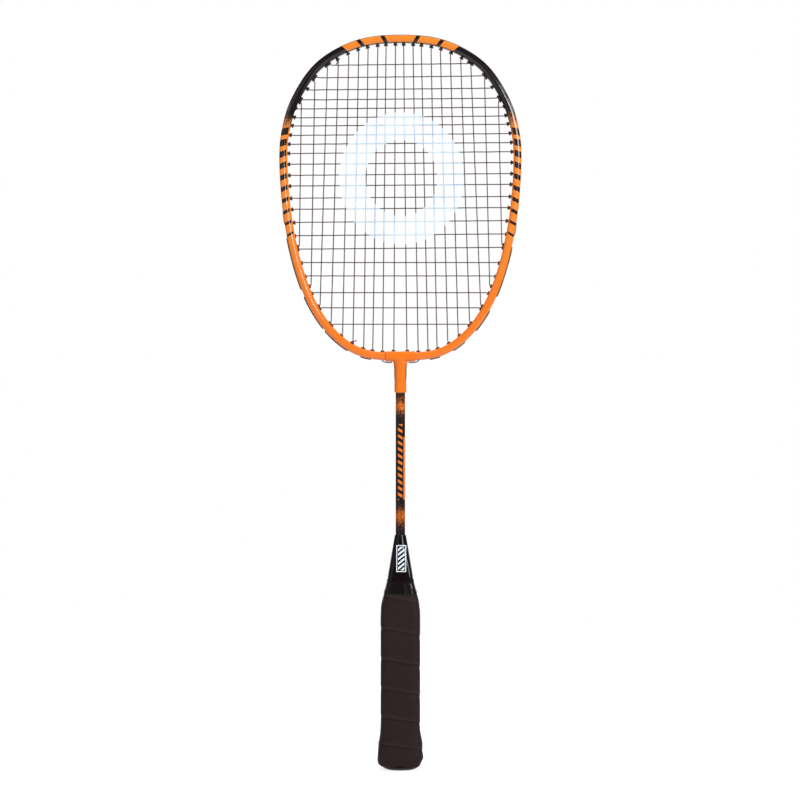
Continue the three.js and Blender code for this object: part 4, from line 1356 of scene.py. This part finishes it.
class RACKET_OT_shaft(bpy.types.Operator):
    """Turn the shaft tube"""
    bl_idname = "racket.shaft"
    bl_label = "Shaft"

    def execute(self, context):
        low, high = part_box("shaft")
        outer, wall = SHAFT_RADIUS, SHAFT_WALL
        bm = bmesh.new()
        profile = [
            (outer - wall, low.z), (outer - 0.0002, low.z), (outer, low.z + 0.0002),
            (outer, high.z - 0.0002), (outer - 0.0002, high.z), (outer - wall, high.z),
        ]
        spun(bm, profile, Vector((0, 0, 0)), Vector((0, 0, 1)), SHAFT_SIDES)
        settle(bm)
        make_piece(bm, "shaft_tube", ["shaft"], shaft_paint())
        return {"FINISHED"}


class RACKET_OT_handle_cone(bpy.types.Operator):
    """Loft the cone from a soft octagon to a circle"""
    bl_idname = "racket.handle_cone"
    bl_label = "Handle Cone"

    def execute(self, context):
        bm = bmesh.new()
        top = CONE_FOOT + CONE_HEIGHT
        outer = [
            self.ring(k / CONE_STEPS, 0, smoothstep(k / CONE_STEPS, 0.1, 1.0))
            for k in range(CONE_STEPS + 1)
        ]
        mouth = [
            handle_ring(z, half, 1.0)
            for z, half in ((top, 0.0041), (top - 0.0001, 0.0039), (top - 0.004, 0.0039))
        ]
        inner = [self.ring(share, CONE_WALL, share) for share in (0.7, 0.35, 0.0)]
        sweep(bm, outer + mouth + inner, closed=True)
        settle(bm)
        make_piece(
            bm, "handle_cone_skin", ["handle_cone"], cone_plastic(), crease=50)
        return {"FINISHED"}

    def ring(self, share, wall, roundness):
        half = value_at(CONE_OUTLINE, share) - wall
        return handle_ring(CONE_FOOT + CONE_HEIGHT * share, half, roundness)


class RACKET_OT_finishing_tape(bpy.types.Operator):
    """Lay the stretched tape round the joint of wrap and cone"""
    bl_idname = "racket.finishing_tape"
    bl_label = "Finishing Tape"

    def execute(self, context):
        columns = [self.column(atan2(unit.y, unit.x)) for unit in HANDLE_UNIT]
        bm = bmesh.new()
        sweep(bm, [
            [handle_point(i, z, self.under(z), 0, out) for i, (z, out) in enumerate(ring)]
            for ring in zip(*columns)
        ], closed=True)
        settle(bm)
        make_piece(
            bm, "finishing_tape_skin", ["finishing_tape"], tape_vinyl(), crease=50)
        return {"FINISHED"}

    def under(self, z):
        if z <= WRAP_TOP:
            return value_at(WRAP_OUTLINE, z)
        return value_at(CONE_OUTLINE, max((z - CONE_FOOT) / CONE_HEIGHT, 0))

    def column(self, angle):
        """Heights and lifts up the outside of the tape and down its inside."""
        degrees = angle * 180 / pi
        crease = sum(lift * bell(degrees, at, wide) for at, wide, lift in TAPE_CREASES)

        def uneven(spread, z):
            return noise.noise(Vector((cos(angle) * spread, sin(angle) * spread, z)))

        wobble, ripple = uneven(1.4, 3.1), uneven(4, 8.7)
        top = TAPE_TOP + 0.0018 * abs(cos(angle)) ** 3 + 0.0004 * wobble + 0.0003 * ripple
        low = TAPE_FOOT - 0.0005 * wobble
        rows = []
        for k in range(TAPE_STEPS + 1):
            t = k / TAPE_STEPS
            lift = TAPE_LIFT + 0.00016 * uneven(5, t * 2) + crease * (0.4 + 0.6 * sin(pi * t))
            rows.append((mix(low, top, t), lift))
        return rows + [(top - 0.0001, 0.00015), (low + 0.0001, 0.00015)]


class RACKET_OT_grip_wrap(bpy.types.Operator):
    """Wind the wrap band up the handle, each turn over the edge of the last"""
    bl_idname = "racket.grip_wrap"
    bl_label = "Grip Wrap"

    def execute(self, context):
        bm = bmesh.new()
        across = bm.verts.layers.float.new("across")
        count = len(HANDLE_UNIT)
        profile = self.profile()
        rings = []
        for step in range(WRAP_TURNS[0] * count, WRAP_TURNS[1] * count + 1):
            unit = HANDLE_UNIT[step % count]
            turned = (atan2(unit.y * GRIP_DEPTH_SHARE, unit.x) % (2 * pi)) / (2 * pi)
            # two thirds of a turn's drop lie behind, so the seam runs flatter across the front
            turn = step // count + turned + min(turned, 1 - turned) / 3
            seam, stretch = self.seam(turn), (self.seam(turn) - self.seam(turn + 1)) / WRAP_PITCH
            rings.append([self.place(step, seam, down * stretch, out) for down, out in profile])
        rows = sweep(bm, rings)
        for row in rows:
            for vert, (down, out) in zip(row, profile):
                vert[across] = min(max(down / WRAP_PITCH, 0), 1) if out > -0.0012 else 0.0
        for height, way in ((WRAP_TOP - 0.0004, 1), (WRAP_OUTLINE[0][0] + 0.0001, -1)):
            cut = bmesh.ops.bisect_plane(
                bm, geom=bm.verts[:] + bm.edges[:] + bm.faces[:], dist=1e-7,
                plane_co=(0, 0, height), plane_no=(0, 0, way), clear_outer=True)
            rim = [g for g in cut["geom_cut"] if isinstance(g, bmesh.types.BMEdge)]
            bmesh.ops.holes_fill(bm, edges=rim)
        self.add_backing(bm)
        settle(bm)
        make_piece(bm, "grip_wrap_band", ["grip_wrap"], grip_polymer(), crease=50)
        return {"FINISHED"}

    def seam(self, turn):
        """Height of the seam after some turns, read between the measured ones."""
        passed = turn - WRAP_TURNS[0]
        i = min(int(passed), len(SEAM_HEIGHTS) - 2)
        return mix(SEAM_HEIGHTS[i], SEAM_HEIGHTS[i + 1], passed - i)

    def profile(self):
        """Section of the band: distance below the seam line, and lift off the outer surface."""
        deep = sizes().seam_depth
        outer = [
            (-WRAP_TUCK, -deep - 0.0006), (-0.0008, -deep - 0.0003), (0.0, -deep),
            (0.0006, -deep * 0.86), (0.0016, -deep * 0.62), (0.003, -deep * 0.36),
            (0.005, -deep * 0.14), (0.008, -deep * 0.02), (WRAP_PITCH - 0.006, 0),
            (WRAP_PITCH - 0.0035, 0.00001), (WRAP_PITCH - 0.0018, 0.0),
            (WRAP_PITCH - 0.0008, -0.0001), (WRAP_PITCH - 0.0003, -0.00032),
            (WRAP_PITCH, -deep * 0.75),
        ]
        return outer + [(down, -WRAP_BACK) for down in (WRAP_PITCH, WRAP_PITCH / 2, -WRAP_TUCK)]

    def place(self, step, seam, down, out):
        z = seam - down
        held = min(max(z, WRAP_OUTLINE[0][0] - 0.002), WRAP_TOP + 0.002)
        half = value_at(WRAP_OUTLINE, min(max(z, WRAP_OUTLINE[0][0]), WRAP_TOP))
        crumple = 0.00008 * noise.noise(Vector((step * 0.12, z * 220, 2.3)))
        at, width, lift = SWELLING
        swelling = lift * bell(z, at, width)
        return handle_point(step, held, half, 0, out + crumple + swelling - 0.00002)

    def add_backing(self, bm):
        low, high = WRAP_OUTLINE[0][0] + 0.0001, WRAP_TOP - 0.0006
        heights = [low, *(z for z, _ in WRAP_OUTLINE if low < z < high), high]
        outer = [handle_ring(z, value_at(WRAP_OUTLINE, z), 0, -0.0016) for z in heights]
        inner = [handle_ring(z, value_at(WRAP_OUTLINE, z), 0, -0.0021) for z in reversed(heights)]
        sweep(bm, outer + inner, closed=True)


class RACKET_OT_butt_cap(bpy.types.Operator):
    """Loft the cap that closes the butt end"""
    bl_idname = "racket.butt_cap"
    bl_label = "Butt Cap"

    def execute(self, context):
        bm = bmesh.new()
        sweep(bm, [
            handle_ring(z, half, CAP_ROUNDNESS if z < CAP_ROUND_TOP else 0.0)
            for z, half in CAP_RINGS
        ])
        settle(bm)
        make_piece(bm, "butt_cap_skin", ["butt_cap"], cap_rubber(), crease=50)
        return {"FINISHED"}


class RACKET_OT_handle_core(bpy.types.Operator):
    """Give the wooden core its grain"""
    bl_idname = "racket.handle_core"
    bl_label = "Handle Core"

    def execute(self, context):
        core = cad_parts["handle_core"]
        core.data.materials.clear()
        core.data.materials.append(core_wood())
        return {"FINISHED"}


class RACKET_OT_stage(bpy.types.Operator):
    """Set up the floor, the plain light and the camera"""
    bl_idname = "racket.stage"
    bl_label = "Stage"

    def execute(self, context):
        scene = context.scene
        scene.view_settings.view_transform = "Standard"
        self.floor()
        self.world(scene)
        for name, place, aim, size, power in LAMPS:
            self.lamp(name, Vector(place), Vector(aim), size, power)
        camera = add_object("camera", bpy.data.cameras.new("camera"))
        camera.data.lens = CAMERA_LENS
        camera.data.sensor_width = 36
        camera.location = CAMERA_PLACE
        camera.rotation_euler = (pi / 2, 0, 0)
        scene.camera = camera
        return {"FINISHED"}

    def lamp(self, name, place, aim, size, power):
        light = bpy.data.lights.new(name, "AREA")
        light.size = size
        light.energy = power
        lamp = add_object(name, light)
        lamp.location = place
        lamp.rotation_euler = (aim - place).to_track_quat("-Z", "Y").to_euler()

    def floor(self):
        bm = bmesh.new()
        bmesh.ops.create_circle(bm, cap_ends=True, segments=FLOOR_SIDES, radius=1.2)
        bmesh.ops.translate(bm, verts=bm.verts, vec=(0, 0, -0.0004))
        mesh = bpy.data.meshes.new("floor")
        bm.to_mesh(mesh)
        bm.free()
        floor = add_object("floor", mesh)
        material = bpy.data.materials.new("floor_white")
        material.use_nodes = True
        tree = material.node_tree
        diffuse = tree.nodes["Principled BSDF"]
        diffuse.inputs["Base Color"].default_value = (0.5, 0.5, 0.5, 1)
        diffuse.inputs["Roughness"].default_value = 0.9
        diffuse.inputs["Specular IOR Level"].default_value = 0.0
        glow = tree.nodes.new("ShaderNodeEmission")
        feed(glow.inputs["Strength"], rays(tree, "Camera", "Glossy", "Transmission") * 0.78)
        both = tree.nodes.new("ShaderNodeAddShader")
        tree.links.new(diffuse.outputs[0], both.inputs[0])
        tree.links.new(glow.outputs[0], both.inputs[1])
        tree.links.new(both.outputs[0], tree.nodes["Material Output"].inputs["Surface"])
        mesh.materials.append(material)

    def world(self, scene):
        """White to be seen, dimmer in reflections of the room, and an even light on everything."""
        world = bpy.data.worlds.new("studio")
        world.use_nodes = True
        scene.world = world
        tree = world.node_tree
        plain = tree.nodes["Background"].inputs
        feed(plain["Color"], (1, 1, 1))
        glossy = rays(tree, "Glossy")
        behind = (split(object_place(tree))[1] - 0.72).over_clamped(0.2)
        seen = rays(tree, "Camera", "Transmission") | glossy * behind
        feed(plain["Strength"], seen + rest_of(seen) * (glossy * -0.38 + 0.5))


OPERATORS = (
    RACKET_OT_stage, RACKET_OT_head_frame, RACKET_OT_t_joint, RACKET_OT_grommets, RACKET_OT_string,
    RACKET_OT_shaft, RACKET_OT_handle_cone, RACKET_OT_finishing_tape, RACKET_OT_grip_wrap,
    RACKET_OT_butt_cap, RACKET_OT_handle_core,
)


class RACKET_PT_pieces(bpy.types.Panel):
    """Pieces, sizes and colours of the racket"""
    bl_idname = "RACKET_PT_pieces"
    bl_label = "Crossminton Racket"
    bl_space_type = "VIEW_3D"
    bl_region_type = "UI"
    bl_category = "Racket"

    def draw(self, context):
        for group in (context.scene.racket_sizes, context.scene.racket_colours):
            box = self.layout.box()
            for name in group.bl_rna.properties.keys():
                if name not in ("rna_type", "name"):
                    box.prop(group, name)
        for operator in OPERATORS:
            self.layout.operator(operator.bl_idname)


CLASSES = (RacketSizes, RacketColours, *OPERATORS, RACKET_PT_pieces)


def register():
    for cls in CLASSES:
        bpy.utils.register_class(cls)
    bpy.types.Scene.racket_sizes = PointerProperty(type=RacketSizes)
    bpy.types.Scene.racket_colours = PointerProperty(type=RacketColours)


def unregister():
    del bpy.types.Scene.racket_colours
    del bpy.types.Scene.racket_sizes
    for cls in reversed(CLASSES):
        bpy.utils.unregister_class(cls)


def main():
    register()
    bpy.ops.racket.stage()
    bpy.ops.racket.head_frame()
    bpy.ops.racket.t_joint()
    bpy.ops.racket.grommets()
    bpy.ops.racket.string()
    bpy.ops.racket.shaft()
    bpy.ops.racket.handle_cone()
    bpy.ops.racket.finishing_tape()
    bpy.ops.racket.grip_wrap()
    bpy.ops.racket.butt_cap()
    bpy.ops.racket.handle_core()


if __name__ == "__main__":
    main()
